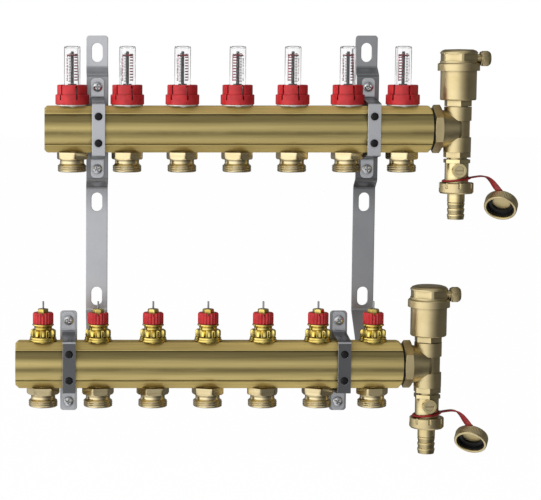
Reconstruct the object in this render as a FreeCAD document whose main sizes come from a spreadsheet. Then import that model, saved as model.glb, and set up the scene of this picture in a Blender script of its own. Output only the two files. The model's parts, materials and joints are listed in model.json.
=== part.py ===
import FreeCAD, Part
import math
import os
import Sketcher
from FreeCAD import Placement, Rotation, Vector

# Underfloor heating manifold: a supply bar with flow meters above a return bar with valve
# inserts, both held by two stepped wall brackets, each bar closed by a vent and drain tee.
#
# Frame, in millimetres: X runs along the bars, Y points into the wall, Z is up. The origin lies
# on the wall plane, on the left bracket's centre line, at the height of the supply bar's axis.

SIZES = {
    # bars: the section is a cylinder with a flat rail above and below
    "outlet_count": 7,
    "outlet_pitch": 50.0,
    "bar_left_margin": 25.2,
    "bar_right_margin": 25.5,
    "bar_height": 42.0,
    "bar_radius": 18.5,
    "bar_bore_radius": 14.0,
    "rail_half_width": 13.2,
    "rail_flat_half_width": 8.0,
    "rail_shoulder_height": 14.6,
    "rail_ledge_height": 13.7,
    "bar_end_radius": 19.0,
    "end_thread_radius": 15.15,
    "end_thread_depth": 14.5,
    "port_radius": 9.0,
    "bar_spacing": 213.0,
    "bar_shift": 26.4,
    # wall brackets
    "bracket_spacing": 248.0,
    "bracket_inset": 48.6,
    "strip_width": 20.0,
    "strip_thickness": 2.5,
    "strip_top": 84.5,
    "upper_plane": 13.5,
    "lower_plane": 32.5,
    "step_start": 54.3,
    "step_end": 47.0,
    "slope_start": 171.0,
    "slope_end": 198.2,
    "web_half_height": 12.0,
    "ear_plate_width": 15.6,
    "ear_plate_half_height": 46.2,
    "bend_radius": 2.5,
    "corner_radius": 3.0,
    "slot_radius": 5.0,
    "slot_length": 17.5,
    "slot_height": 69.0,
    "low_slot_height": 157.0,
    # clamps
    "screw_spacing": 75.4,
    "screw_radius": 2.5,
    "tapped_radius": 2.53,
    "band_width": 11.8,
    "band_thickness": 1.5,
    "band_front_half": 23.5,
    "band_foot_half": 28.5,
    "band_half_height": 45.8,
    "band_hole_radius": 2.75,
    "pad_thickness": 1.5,
    "pad_half_height": 15.0,
    "button_height": 12.0,
    "button_radius": 3.4,
    "button_hole_radius": 3.5,
    "button_stand": 3.2,
    "screw_head_radius": 4.4,
    "screw_head_height": 2.7,
    "screw_length": 10.0,
    "recess_width": 1.1,
    "recess_length": 4.8,
    "recess_depth": 1.4,
    # outlet nipples
    "spigot_radius": 8.95,
    "spigot_depth": 8.0,
    "seat_radius": 6.2,
    "nipple_bore_radius": 7.5,
    "nipple_hex_radius": 15.0,
    "nipple_hex_height": 6.5,
    "nipple_neck_radius": 11.0,
    "nipple_neck_height": 5.5,
    "nipple_thread_radius": 13.22,
    "nipple_thread_height": 6.0,
    "mouth_radius": 9.3,
    "mouth_depth": 8.0,
    # seal rings
    "ring_radius": 8.2,
    "ring_wire_radius": 0.8,
    "groove_radius": 7.4,
    "groove_width": 1.8,
    "groove_depth_position": 4.0,
    # flow meters, heights above the bar's top
    "port_depth": 33.5,
    "cage_radius": 8.2,
    "cage_bore_radius": 6.6,
    "cage_floor_top": 13.0,
    "cage_floor_bottom": 15.0,
    "window_top": 17.5,
    "window_bottom": 26.0,
    "window_width": 7.0,
    "meter_flange_radius": 14.2,
    "meter_flange_height": 1.2,
    "sleeve_radius": 9.5,
    "sleeve_top": 16.0,
    "tube_seat": 2.0,
    "meter_bore_radius": 4.2,
    "rod_guide_radius": 1.35,
    "tube_radius": 7.4,
    "tube_bore_radius": 5.4,
    "tube_top": 53.8,
    "tube_bore_top": 50.1,
    "tube_flange_height": 1.5,
    "collar_bottom": 1.25,
    "collar_step": 10.2,
    "collar_top": 19.0,
    "collar_lower_radius": 15.3,
    "collar_upper_radius": 13.7,
    "collar_hollow_radius": 11.6,
    "collar_hub_top": 5.0,
    "collar_lip_height": 17.6,
    "collar_clearance": 0.05,
    "collar_slit_width": 1.5,
    "collar_slit_bottom": 5.5,
    "rod_radius": 1.25,
    "rod_top": 49.2,
    "pointer_radius": 4.9,
    "pointer_bottom": 45.0,
    "pointer_height": 1.0,
    "spring_collar_bottom": 19.0,
    "spring_collar_radius": 3.9,
    "plate_radius": 5.7,
    "plate_top": 17.0,
    "plate_thickness": 1.0,
    "meter_spring_radius": 2.6,
    "meter_spring_wire": 0.25,
    "meter_spring_turns": 10,
    # valve inserts, heights above the bar's top
    "insert_flange_radius": 12.5,
    "insert_flange_top": 4.2,
    "spline_radius": 11.35,
    "spline_top": 10.9,
    "spline_count": 12,
    "spline_gap_radius": 1.5,
    "insert_neck_radius": 8.1,
    "insert_neck_top": 14.4,
    "insert_lip_radius": 9.8,
    "insert_lip_top": 16.0,
    "insert_sleeve_radius": 6.0,
    "insert_sleeve_top": 26.4,
    "insert_bore_radius": 4.5,
    "insert_floor_top": 10.0,
    "insert_floor_bottom": 8.0,
    "stem_radius": 1.5,
    "stem_guide_radius": 1.55,
    "insert_cage_bore_radius": 7.2,
    "gland_spigot_depth": 5.0,
    "gland_hex_radius": 5.3,
    "gland_height": 3.3,
    "pin_radius": 0.9,
    "pin_bore_radius": 0.95,
    "pin_top": 36.6,
    "pin_collar_bottom": 20.0,
    "pin_collar_height": 1.2,
    "pin_collar_radius": 3.8,
    "disc_radius": 6.9,
    "disc_top": 28.0,
    "disc_thickness": 3.0,
    "valve_spring_radius": 2.9,
    "valve_spring_wire": 0.35,
    "valve_spring_turns": 5,
    "preset_radius": 9.1,
    "preset_bore_radius": 6.05,
    "preset_bottom": 16.05,
    "preset_top": 26.3,
    "preset_rib_count": 20,
    "preset_groove_radius": 0.45,
    "preset_notch_radius": 1.0,
    # end tees, measured from the bar's end face along X and from the bar's axis along Z
    "tee_axis": 24.8,
    "tee_spigot_radius": 15.1,
    "tee_spigot_length": 14.0,
    "tee_bore_radius": 11.0,
    "gasket_thickness": 1.5,
    "gasket_radius": 18.2,
    "tee_hex_radius": 22.0,
    "tee_hex_end": 9.2,
    "tee_branch_radius": 17.6,
    "tee_branch_tip_radius": 14.2,
    "tee_branch_end": 23.8,
    "tee_nose_end": 26.3,
    "tee_waist_radius": 11.0,
    "tee_collar_radius": 12.35,
    "tee_top": 20.1,
    "tee_waist_top": 7.6,
    "tee_bottom": 25.7,
    "tee_hex_top": 20.9,
    "branch_thread_radius": 9.1,
    "branch_thread_depth": 9.0,
    "branch_bore_radius": 6.5,
    # air vents, heights above the tee's top
    "vent_hex_bottom": 0.6,
    "vent_hex_top": 6.1,
    "vent_hex_radius": 12.8,
    "vent_spigot_radius": 9.05,
    "vent_spigot_depth": 8.0,
    "vent_inlet_radius": 4.5,
    "vent_radius": 16.25,
    "vent_chamber_radius": 13.8,
    "vent_floor": 9.0,
    "vent_rim_radius": 18.85,
    "vent_rim_bottom": 32.6,
    "vent_rim_top": 39.6,
    "cover_radius": 16.9,
    "cover_flat_distance": 15.2,
    "cover_skirt_radius": 15.6,
    "cover_skirt_depth": 5.0,
    "cover_inner_radius": 13.0,
    "cover_shoulder": 49.2,
    "cover_top": 51.8,
    "cover_ceiling": 47.5,
    "cover_thread_radius": 15.65,
    "float_radius": 12.8,
    "float_bottom": 18.0,
    "float_height": 18.0,
    "float_pin_radius": 1.6,
    "float_pin_length": 6.0,
    "outlet_height": 43.6,
    "outlet_radius": 4.0,
    "outlet_bore_radius": 1.5,
    "outlet_length": 24.0,
    "side_cap_radius": 6.9,
    "side_cap_bore_radius": 4.06,
    "side_cap_start": 19.0,
    "side_cap_end": 28.6,
    "side_cap_seat": 24.2,
    # drain valves, heights below the tee's bottom
    "drain_spigot_radius": 9.05,
    "drain_spigot_depth": 8.0,
    "drain_neck_radius": 9.4,
    "drain_neck": 1.8,
    "drain_hex_radius": 11.9,
    "drain_hex_bottom": 5.1,
    "drain_radius": 10.7,
    "drain_shoulder": 21.4,
    "drain_inlet_radius": 5.0,
    "drain_union_radius": 12.9,
    "drain_union_bottom": 28.0,
    "ball_height": 11.4,
    "ball_radius": 7.5,
    "ball_seat_radius": 7.55,
    "ball_bore_radius": 4.5,
    "boss_radius": 6.25,
    "boss_reach": 14.5,
    "spindle_radius": 4.0,
    "spindle_bore_radius": 4.05,
    "spindle_reach": 13.8,
    "spindle_slot_width": 1.4,
    "spindle_slot_depth": 2.0,
    "seat_ring_depth": 2.6,
    "seat_ring_bore_radius": 5.0,
    "nut_top": 23.1,
    "nut_bottom": 32.9,
    "nut_radius": 15.5,
    "nut_low_radius": 14.4,
    "nut_bore_radius": 12.95,
    "nut_lip": 2.6,
    "nut_lip_radius": 8.4,
    "nut_notch_count": 8,
    "nut_notch_radius": 1.3,
    "nut_notch_depth": 5.0,
    "tail_radius": 7.85,
    "tail_flange_radius": 12.4,
    "tail_flange_height": 2.2,
    "tail_bore_radius": 5.5,
    "tail_plain_length": 8.0,
    "tail_neck_relief": 0.6,
    "tail_barb_pitch": 5.2,
    "tail_root_radius": 7.2,
    "tail_barb_radius": 7.83,
    "tail_end": 56.7,
    # cap on its strap, from the drain's axis and the tee's bottom
    "strap_ring_radius": 13.4,
    "strap_ring_bore_radius": 10.8,
    "strap_ring_depth": 20.6,
    "strap_thickness": 1.5,
    "strap_width": 5.0,
    "strap_run": 22.0,
    "strap_bend_radius": 17.0,
    "strap_bend_angle": 60.0,
    "strap_end_length": 14.0,
    "cap_offset": 42.95,
    "cap_back": 3.4,
    "cap_depth": 40.3,
    "cap_radius": 15.0,
    "cap_height": 10.0,
    "cap_wall": 1.8,
    "cap_floor": 2.2,
    "cap_gasket_height": 2.0,
    "cap_gasket_bore_radius": 7.5,
}

COS_30 = math.cos(math.radians(30))
TOLERANCE = 1e-6

doc = FreeCAD.newDocument("Manifold")


# ---------------------------------------------------------------- sizes and expressions


class Size:
    """A length that is known as a number and as an expression on the spreadsheet."""

    def __init__(self, value, text):
        self.value = value
        self.text = text

    def joined(self, sign, other, value):
        return Size(value, f"({self.text} {sign} {other.text})")

    def __add__(self, other):
        other = as_size(other)
        return self.joined("+", other, self.value + other.value)

    def __sub__(self, other):
        other = as_size(other)
        return self.joined("-", other, self.value - other.value)

    def __mul__(self, other):
        other = as_size(other)
        return self.joined("*", other, self.value * other.value)

    def __truediv__(self, other):
        other = as_size(other)
        return self.joined("/", other, self.value / other.value)

    def __neg__(self):
        return Size(-self.value, f"(0 - {self.text})")


def as_size(number):
    if isinstance(number, Size):
        return number
    return Size(float(number), f"({float(number)!r})")


def size(name):
    """The driving dimension of this name."""
    return Size(SIZES[name], f"Sizes.{name}")


def bind(thing, path, length):
    """Set a property of a document object from a size, and keep it bound to the sheet."""
    thing.setExpression(path, as_size(length).text)


def place(thing, x=0, y=0, z=0, rotation=None):
    """Give an object its place, each coordinate bound to the sheet."""
    if rotation is not None:
        thing.Placement = Placement(Vector(), rotation)
    for axis, length in zip("xyz", (x, y, z)):
        bind(thing, f".Placement.Base.{axis}", length)


def write_sheet():
    sheet = doc.addObject("Spreadsheet::Sheet", "Sizes")
    for row, (name, value) in enumerate(SIZES.items(), start=1):
        sheet.set(f"A{row}", name)
        sheet.set(f"B{row}", str(value))
        sheet.setAlias(f"B{row}", name)
    doc.recompute()


# ---------------------------------------------------------------- sketches and features


def new_body(name):
    return doc.addObject("PartDesign::Body", name)


def origin_part(body, role):
    return next(item for item in body.Origin.OriginFeatures if item.Role == role)


def new_sketch(body, plane, offset=None):
    """An empty sketch on one of the body's origin planes, moved along that plane's normal."""
    sketch = body.newObject("Sketcher::SketchObject", "Sketch")
    sketch.AttachmentSupport = [(origin_part(body, plane), "")]
    sketch.MapMode = "FlatFace"
    if offset is not None:
        bind(sketch, ".AttachmentOffset.Base.z", offset)
    return sketch


def fix_point(sketch, geometry, point, across, up):
    """Hold a point of the sketch at its two distances from the sketch's origin."""
    for kind, length in (("DistanceX", as_size(across)), ("DistanceY", as_size(up))):
        rule = Sketcher.Constraint(kind, -1, 1, geometry, point, length.value)
        index = sketch.addConstraint(rule)
        bind(sketch, f"Constraints[{index}]", length)


def fix_radius(sketch, geometry, radius):
    index = sketch.addConstraint(Sketcher.Constraint("Radius", geometry, radius.value))
    bind(sketch, f"Constraints[{index}]", radius)


def add_outline(sketch, corners):
    """A closed outline of straight lines through the corners."""
    corners = [(as_size(across), as_size(up)) for across, up in corners]
    points = [Vector(across.value, up.value, 0) for across, up in corners]
    start = sketch.GeometryCount
    count = len(points)
    lines = [Part.LineSegment(points[i], points[(i + 1) % count]) for i in range(count)]
    sketch.addGeometry(lines, False)
    sketch.addConstraint(
        [
            Sketcher.Constraint("Coincident", start + i, 2, start + (i + 1) % count, 1)
            for i in range(count)
        ]
    )
    for index, (across, up) in enumerate(corners):
        fix_point(sketch, start + index, 1, across, up)


def add_circle(sketch, radius, across=0, up=0):
    across, up = as_size(across), as_size(up)
    circle = Part.Circle(Vector(across.value, up.value, 0), Vector(0, 0, 1), radius.value)
    index = sketch.addGeometry(circle, False)
    fix_radius(sketch, index, radius)
    fix_point(sketch, index, 3, across, up)


def add_slot(sketch, across, up, radius, length):
    """An upright slot with round ends, centred on the point."""
    across, up = as_size(across), as_size(up)
    half = length / 2 - radius
    start = sketch.GeometryCount
    normal = Vector(0, 0, 1)
    top = Vector(across.value, up.value + half.value, 0)
    low = Vector(across.value, up.value - half.value, 0)
    side = Vector(radius.value, 0, 0)
    arcs = [
        Part.ArcOfCircle(Part.Circle(top, normal, radius.value), 0, math.pi),
        Part.ArcOfCircle(Part.Circle(low, normal, radius.value), math.pi, 2 * math.pi),
        Part.LineSegment(top - side, low - side),
        Part.LineSegment(low + side, top + side),
    ]
    sketch.addGeometry(arcs, False)
    joints = ((0, 2, 2, 1), (2, 2, 1, 1), (1, 2, 3, 1), (3, 2, 0, 1))
    for first, first_end, second, second_end in joints:
        rule = ("Tangent", start + first, first_end, start + second, second_end)
        sketch.addConstraint(Sketcher.Constraint(*rule))
    fix_radius(sketch, start, radius)
    fix_point(sketch, start, 3, across, up + half)
    fix_point(sketch, start + 1, 3, across, up - half)


def hexagon(radius):
    """Corners of a hexagon of this corner radius, two of them on the first axis."""
    half, high = radius * 0.5, radius * COS_30
    return [
        (radius, 0),
        (half, high),
        (-half, high),
        (-radius, 0),
        (-half, -high),
        (half, -high),
    ]


def upright_hexagon(radius):
    """The same hexagon with two corners on the second axis."""
    return [(up, across) for across, up in reversed(hexagon(radius))]


def finish_feature(body, feature):
    body.Tip = feature
    doc.recompute()
    if {"Invalid", "Error"} & set(feature.State):
        raise RuntimeError(f"{body.Label}: {feature.Label} failed, {feature.State}")
    return feature


def must_change(body, feature, before, sign):
    """Add or cut, and make sure that the feature really did."""
    finish_feature(body, feature)
    change = (feature.Shape.Volume - before) * sign
    if change < TOLERANCE:
        raise RuntimeError(f"{body.Label}: {feature.Label} changed nothing")
    return feature


def volume_of(body):
    return body.Tip.Shape.Volume if body.Tip is not None else 0.0


def sweep_profile(body, kind, plane, outlines, axis):
    """Turn outlines about one axis of their sketch: a Revolution adds, a Groove cuts."""
    before = volume_of(body)
    sketch = new_sketch(body, plane)
    for corners in outlines:
        add_outline(sketch, corners)
    feature = body.newObject(f"PartDesign::{kind}", kind)
    feature.Profile = sketch
    feature.ReferenceAxis = (sketch, [axis])
    feature.Angle = 360
    return must_change(body, feature, before, 1 if kind == "Revolution" else -1)


def turn(body, corners, axis="V_Axis"):
    return sweep_profile(body, "Revolution", "XZ_Plane", [corners], axis)


def groove(body, *outlines, axis="V_Axis"):
    return sweep_profile(body, "Groove", "XZ_Plane", outlines, axis)


def tube_outline(inner, outer, low, high):
    return [(inner, low), (outer, low), (outer, high), (inner, high)]


def pad(body, sketch, length, symmetric=False, backwards=False):
    before = volume_of(body)
    feature = body.newObject("PartDesign::Pad", "Pad")
    feature.Profile = sketch
    bind(feature, "Length", length)
    feature.Reversed = backwards
    if symmetric:
        feature.SideType = "Symmetric"
    return must_change(body, feature, before, 1)


def pocket(body, sketch, length=None, backwards=False):
    """Cut a sketch to a length, or right through the body both ways."""
    before = volume_of(body)
    feature = body.newObject("PartDesign::Pocket", "Pocket")
    feature.Profile = sketch
    feature.Reversed = backwards
    if length is None:
        feature.Type = "ThroughAll"
        feature.SideType = "Symmetric"
    else:
        bind(feature, "Length", length)
    return must_change(body, feature, before, -1)


def repeat_round(body, feature, count, axis="Z_Axis"):
    before = volume_of(body)
    sign = 1 if feature.TypeId == "PartDesign::Pad" else -1
    pattern = body.newObject("PartDesign::PolarPattern", "PolarPattern")
    pattern.Originals = [feature]
    pattern.Axis = (origin_part(body, axis), [""])
    pattern.Angle = 360
    bind(pattern, "Occurrences", count)
    return must_change(body, pattern, before, sign)


def repeat_along(body, feature, length, count):
    before = volume_of(body)
    pattern = body.newObject("PartDesign::LinearPattern", "LinearPattern")
    pattern.Originals = [feature]
    pattern.Direction = (origin_part(body, "X_Axis"), [""])
    bind(pattern, "Length", length)
    bind(pattern, "Occurrences", count)
    return must_change(body, pattern, before, -1)


def edges_where(shape, wanted):
    return [f"Edge{i}" for i, edge in enumerate(shape.Edges, start=1) if wanted(edge)]


def straight_along(edge, direction):
    if edge.Curve.TypeId != "Part::GeomLine":
        return False
    return abs(abs(edge.tangentAt(edge.FirstParameter).dot(direction)) - 1) < TOLERANCE


def dress(body, kind, edges, length):
    """Fillet or chamfer the named edges of the body's last feature."""
    base = body.Tip
    feature = body.newObject(f"PartDesign::{kind}", kind)
    feature.Base = (base, edges)
    bind(feature, "Radius" if kind == "Fillet" else "Size", length)
    return finish_feature(body, feature)


# ---------------------------------------------------------------- sub-parts from masters


def linked(master, name):
    link = doc.addObject("App::Link", name)
    link.LinkedObject = master
    return link


def group_of(name, members):
    """One named sub-part that holds several equal, separate solids."""
    compound = doc.addObject("Part::Compound", name)
    compound.Links = members
    doc.recompute()
    return compound


subparts = []


def keep(item, label):
    item.Label = label
    subparts.append(item)
    return item


BARS = ("supply", "return")


def bar_left(bar):
    """X of the bar's left end: the return bar sits half a pitch further left."""
    left = -size("bracket_inset")
    return left - size("bar_shift") if bar == "return" else left


def bar_axis_y(bar):
    plane = "lower_plane" if bar == "return" else "upper_plane"
    return -size(plane) - size("bar_radius")


def bar_axis_z(bar):
    return -size("bar_spacing") if bar == "return" else as_size(0)


def bar_length():
    pitches = size("outlet_pitch") * (size("outlet_count") - 1)
    return size("bar_left_margin") + pitches + size("bar_right_margin")


def outlet_x(bar, index):
    return bar_left(bar) + size("bar_left_margin") + size("outlet_pitch") * index


def outlets():
    return range(SIZES["outlet_count"])


def on_bar_top(link, bar, index, rotation=None):
    top = bar_axis_z(bar) + size("bar_height") / 2
    place(link, outlet_x(bar, index), bar_axis_y(bar), top, rotation)


def on_tee(link, bar, height, rotation=None):
    """Put a piece on a tee's upright axis, at a height from the bar's axis."""
    x = bar_left(bar) + bar_length() + size("tee_axis")
    place(link, x, bar_axis_y(bar), bar_axis_z(bar) + height, rotation)


# ---------------------------------------------------------------- bars


def bar_master():
    body = new_body("BarMaster")
    length, half = bar_length(), size("bar_height") / 2
    barrel = new_sketch(body, "YZ_Plane")
    add_circle(barrel, size("bar_radius"))
    pad(body, barrel, length)

    rails = new_sketch(body, "YZ_Plane")
    wide, flat = size("rail_half_width"), size("rail_flat_half_width")
    shoulder, ledge = size("rail_shoulder_height"), size("rail_ledge_height")
    top = [
        (-wide, ledge),
        (wide, ledge),
        (wide, shoulder),
        (flat, half),
        (-flat, half),
        (-wide, shoulder),
    ]
    add_outline(rails, top)
    add_outline(rails, [(across, -up) for across, up in top])
    pad(body, rails, length)

    # The ends are turned: a cone outside, a thread bore inside, and the waterway between.
    end, clear = size("bar_end_radius"), half + 5
    thread, bore = size("end_thread_radius"), size("bar_bore_radius")
    depth, lead = size("end_thread_depth"), as_size(1.0)
    cone = clear - end
    groove(
        body,
        [(0, end), (cone, clear), (0, clear)],
        [(length, end), (length, clear), (length - cone, clear)],
        [
            (0, 0),
            (length, 0),
            (length, thread + lead),
            (length - lead, thread),
            (length - depth, thread),
            (length - depth, bore),
            (depth, bore),
            (depth, thread),
            (lead, thread),
            (0, thread + lead),
        ],
        axis="H_Axis",
    )
    port = new_sketch(body, "XY_Plane")
    add_circle(port, size("port_radius"), size("bar_left_margin"))
    first = pocket(body, port)
    pitches = size("outlet_count") - 1
    repeat_along(body, first, size("outlet_pitch") * pitches, size("outlet_count"))
    return body


def build_bars():
    master = bar_master()
    for bar in BARS:
        link = keep(linked(master, f"{bar}_bar"), f"{bar}_manifold_bar")
        place(link, bar_left(bar), bar_axis_y(bar), bar_axis_z(bar))


# ---------------------------------------------------------------- wall brackets


def mitre(across, along):
    """How far a corner moves along a sheet bent by this run, for each unit of its thickness."""
    return math.tan(math.atan2(across.value, along.value) / 2)


def bracket_master():
    body = new_body("BracketMaster")
    thick, spacing = size("strip_thickness"), size("bar_spacing")
    top, web = size("strip_top"), size("web_half_height")
    upper, lower = size("upper_plane"), size("lower_plane")
    start, end = size("step_start"), size("step_end")
    slope, slope_end = size("slope_start"), size("slope_end")
    bottom = spacing + web
    step = thick * mitre(upper - thick, start - end)
    rise = thick * mitre(lower - thick, slope_end - slope)
    # Corners on the inside and on the outside of each bend, from the top down.
    inside = [
        (-thick, start + step),
        (-upper + thick, end),
        (-upper + thick, -end),
        (-thick, -start - step),
        (-thick, -slope + rise),
        (-lower + thick, -slope_end),
    ]
    outside = [
        (0, start),
        (-upper, end + step),
        (-upper, -end - step),
        (0, -start),
        (0, -slope),
        (-lower, -slope_end + rise),
    ]
    strip = new_sketch(body, "YZ_Plane")
    back = [outside[0], inside[1], inside[2], outside[3], outside[4], inside[5]]
    front = [inside[0], outside[1], outside[2], inside[3], inside[4], outside[5]]
    ends = [(-lower + thick, -bottom), (-lower, -bottom)]
    add_outline(strip, [(0, top)] + back + ends + front[::-1] + [(-thick, top)])
    pad(body, strip, size("strip_width"), symmetric=True)

    half_strip = size("strip_width") / 2
    ear_out = -size("bar_shift") - size("ear_plate_width") / 2
    ear_in = -size("bar_shift") + size("ear_plate_width") / 2
    ear = size("ear_plate_half_height")
    plate = new_sketch(body, "XZ_Plane", lower - thick)
    add_outline(
        plate,
        [
            (half_strip, -spacing - web),
            (half_strip, -spacing + web),
            (ear_in, -spacing + web),
            (ear_in, -spacing + ear),
            (ear_out, -spacing + ear),
            (ear_out, -spacing - ear),
            (ear_in, -spacing - ear),
            (ear_in, -spacing - web),
        ],
    )
    pad(body, plate, thick)

    for corners, radius in (
        (inside, size("bend_radius")),
        (outside, size("bend_radius") + thick),
    ):
        marks = [(as_size(y).value, z.value) for y, z in corners]

        def at_bend(edge):
            middle = edge.CenterOfMass
            near = any(math.hypot(middle.y - y, middle.z - z) < 0.1 for y, z in marks)
            return near and straight_along(edge, Vector(1, 0, 0))

        dress(body, "Fillet", edges_where(body.Tip.Shape, at_bend), radius)

    def at_corner(edge):
        z = edge.CenterOfMass.z
        free = abs(z - top.value) < 0.1 or abs(z + bottom.value) < 0.1
        ends = abs(abs(z + spacing.value) - ear.value) < 0.1
        return straight_along(edge, Vector(0, 1, 0)) and (free or ends)

    dress(body, "Fillet", edges_where(body.Tip.Shape, at_corner), size("corner_radius"))

    holes = new_sketch(body, "XZ_Plane")
    slot, length = size("slot_radius"), size("slot_length")
    for height in (size("slot_height"), -size("slot_height"), -size("low_slot_height")):
        add_slot(holes, 0, height, slot, length)
    for across, height in ((0, 0), (-size("bar_shift"), -spacing)):
        for side in (0.5, -0.5):
            up = as_size(height) + size("screw_spacing") * side
            add_circle(holes, size("tapped_radius"), across, up)
    pocket(body, holes)
    return body


def build_brackets():
    master = bracket_master()
    left, right = linked(master, "LeftBracket"), linked(master, "RightBracket")
    place(right, size("bracket_spacing"))
    keep(group_of("Brackets", [left, right]), "wall_brackets")


# ---------------------------------------------------------------- clamps


def at_clamps(master, name, offset_y=0, offset_z=0):
    """Four copies of a clamp piece, placed from each bar's axis."""
    copies = []
    for bar in BARS:
        for side in range(2):
            copy = linked(master, name)
            x = size("bracket_spacing") * side
            if bar == "return":
                x = x - size("bar_shift")
            place(copy, x, bar_axis_y(bar) + offset_y, bar_axis_z(bar) + offset_z)
            copies.append(copy)
    return copies


def clamp_band_master():
    """A band around the front of a bar: Y is counted from the bar's axis."""
    body = new_body("BandMaster")
    back, thick = size("bar_radius"), size("band_thickness")
    front = -size("bar_radius") - size("pad_thickness") - thick
    flat, foot = size("band_front_half"), size("band_foot_half")
    end = size("band_half_height")
    lean = thick * 1.05
    upper = [
        (front, flat),
        (back - thick, foot),
        (back - thick, end),
        (back, end),
        (back, foot - lean),
        (front + thick, flat - lean),
    ]
    section = new_sketch(body, "YZ_Plane")
    add_outline(section, upper + [(y, -z) for y, z in reversed(upper)])
    pad(body, section, size("band_width"), symmetric=True)

    def at_fold(edge):
        return straight_along(edge, Vector(1, 0, 0)) and abs(edge.CenterOfMass.z) < end.value - 1

    dress(body, "Fillet", edges_where(body.Tip.Shape, at_fold), thick * 0.6)

    def at_tip(edge):
        return straight_along(edge, Vector(0, 1, 0)) and abs(edge.CenterOfMass.z) > end.value - 1

    dress(body, "Fillet", edges_where(body.Tip.Shape, at_tip), size("band_width") * 0.33)
    holes = new_sketch(body, "XZ_Plane")
    for side in (1, -1):
        add_circle(holes, size("band_hole_radius"), 0, size("screw_spacing") * 0.5 * side)
    pocket(body, holes)
    windows = new_sketch(body, "XZ_Plane")
    for side in (1, -1):
        add_circle(windows, size("button_hole_radius"), 0, size("button_height") * side)
    pocket(body, windows)
    return body


def rubber_pad_master():
    """A moulded saddle between band and bar, with two buttons through the band's holes."""
    body = new_body("PadMaster")
    radius, half = size("bar_radius"), size("pad_half_height")
    front = -radius - size("pad_thickness")
    ledge = size("rail_ledge_height") - 0.4
    section = new_sketch(body, "YZ_Plane")
    back = -radius * 0.6
    add_outline(section, [(front, -ledge), (back, -ledge), (back, ledge), (front, ledge)])
    pad(body, section, size("band_width") - 0.6, symmetric=True)
    lips = new_sketch(body, "YZ_Plane")
    for side in (1, -1):
        add_outline(
            lips,
            [
                (front, ledge * side),
                (front + size("pad_thickness"), ledge * side),
                (front + size("pad_thickness"), half * side),
                (front, half * side),
            ],
        )
    pad(body, lips, size("band_width") - 0.6, symmetric=True)
    barrel = new_sketch(body, "YZ_Plane")
    add_circle(barrel, radius)
    pocket(body, barrel)
    buttons = new_sketch(body, "XZ_Plane", -front)
    for side in (1, -1):
        add_circle(buttons, size("button_radius"), 0, size("button_height") * side)
    pad(body, buttons, size("button_stand"))
    tip = front.value - SIZES["button_stand"]

    def at_button(edge):
        return abs(edge.CenterOfMass.y - tip) < 0.01 and edge.Curve.TypeId == "Part::GeomCircle"

    dress(body, "Fillet", edges_where(body.Tip.Shape, at_button), as_size(1.4))
    return body


def screw_master():
    """A pan-head screw along Z, head up, with its underside at the origin."""
    body = new_body("ScrewMaster")
    head, tall = size("screw_head_radius"), size("screw_head_height")
    shank, long = size("screw_radius"), size("screw_length")
    turn(
        body,
        [
            (0, -long),
            (shank - 0.6, -long),
            (shank, -long + 0.6),
            (shank, 0),
            (head, 0),
            (head, tall * 0.45),
            (head * 0.86, tall * 0.82),
            (head * 0.55, tall),
            (0, tall),
        ],
    )
    for across, along in ((1, 0), (0, 1)):
        recess = new_sketch(body, "XY_Plane", tall)
        wide = size("recess_width") / 2
        reach = size("recess_length") / 2
        x = reach if across else wide
        y = reach if along else wide
        add_outline(recess, [(-x, -y), (x, -y), (x, y), (-x, y)])
        pocket(body, recess, size("recess_depth"))
    return body


def build_clamps():
    bands = at_clamps(clamp_band_master(), "Band")
    keep(group_of("Bands", bands), "clamp_bands")
    pads = at_clamps(rubber_pad_master(), "RubberPad")
    keep(group_of("RubberPads", pads), "clamp_rubber_pads")
    master = screw_master()
    seat = size("bar_radius") - size("band_thickness")
    screws = []
    for side in (0.5, -0.5):
        screws += at_clamps(master, "Screw", seat, size("screw_spacing") * side)
    for turn_step, screw in enumerate(screws):
        lean = Rotation(Vector(0, 1, 0), 17.0 * turn_step)
        facing = Rotation(Vector(1, 0, 0), 90)
        base = screw.Placement.Base
        screw.Placement = Placement(base, lean.multiply(facing))
    keep(group_of("Screws", screws), "clamp_screws")


# ---------------------------------------------------------------- outlet nipples and seals


def nipple_master():
    """A Eurocone nipple hanging from the bar's underside, which is at Z 0."""
    body = new_body("NippleMaster")
    hexagon_height = size("nipple_hex_height")
    neck_end = hexagon_height + size("nipple_neck_height")
    end = neck_end + size("nipple_thread_height")
    bore, seat, spigot = size("nipple_bore_radius"), size("seat_radius"), size("spigot_radius")
    neck, thread = size("nipple_neck_radius"), size("nipple_thread_radius")
    turn(
        body,
        [
            (seat, size("spigot_depth")),
            (seat, size("spigot_depth") - 2),
            (bore, size("spigot_depth") - 3),
            (bore, -end + size("mouth_depth")),
            (size("mouth_radius"), -end),
            (thread - 1, -end),
            (thread, -end + 1),
            (thread, -neck_end),
            (neck, -neck_end),
            (neck, 0),
            (spigot, 0),
            (spigot, size("spigot_depth")),
        ],
    )
    nut = new_sketch(body, "XY_Plane")
    add_outline(nut, hexagon(size("nipple_hex_radius")))
    add_circle(nut, neck - 0.5)
    pad(body, nut, hexagon_height, backwards=True)
    # The hexagon's corners are turned off at 30 degrees on the lower face.
    flat = size("nipple_hex_radius") * COS_30
    edge = size("nipple_hex_radius") + 2
    slope = (edge - flat) * math.tan(math.radians(30))
    groove(
        body,
        [(flat, -hexagon_height), (edge, -hexagon_height + slope), (edge, -hexagon_height)],
    )
    return body


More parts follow.
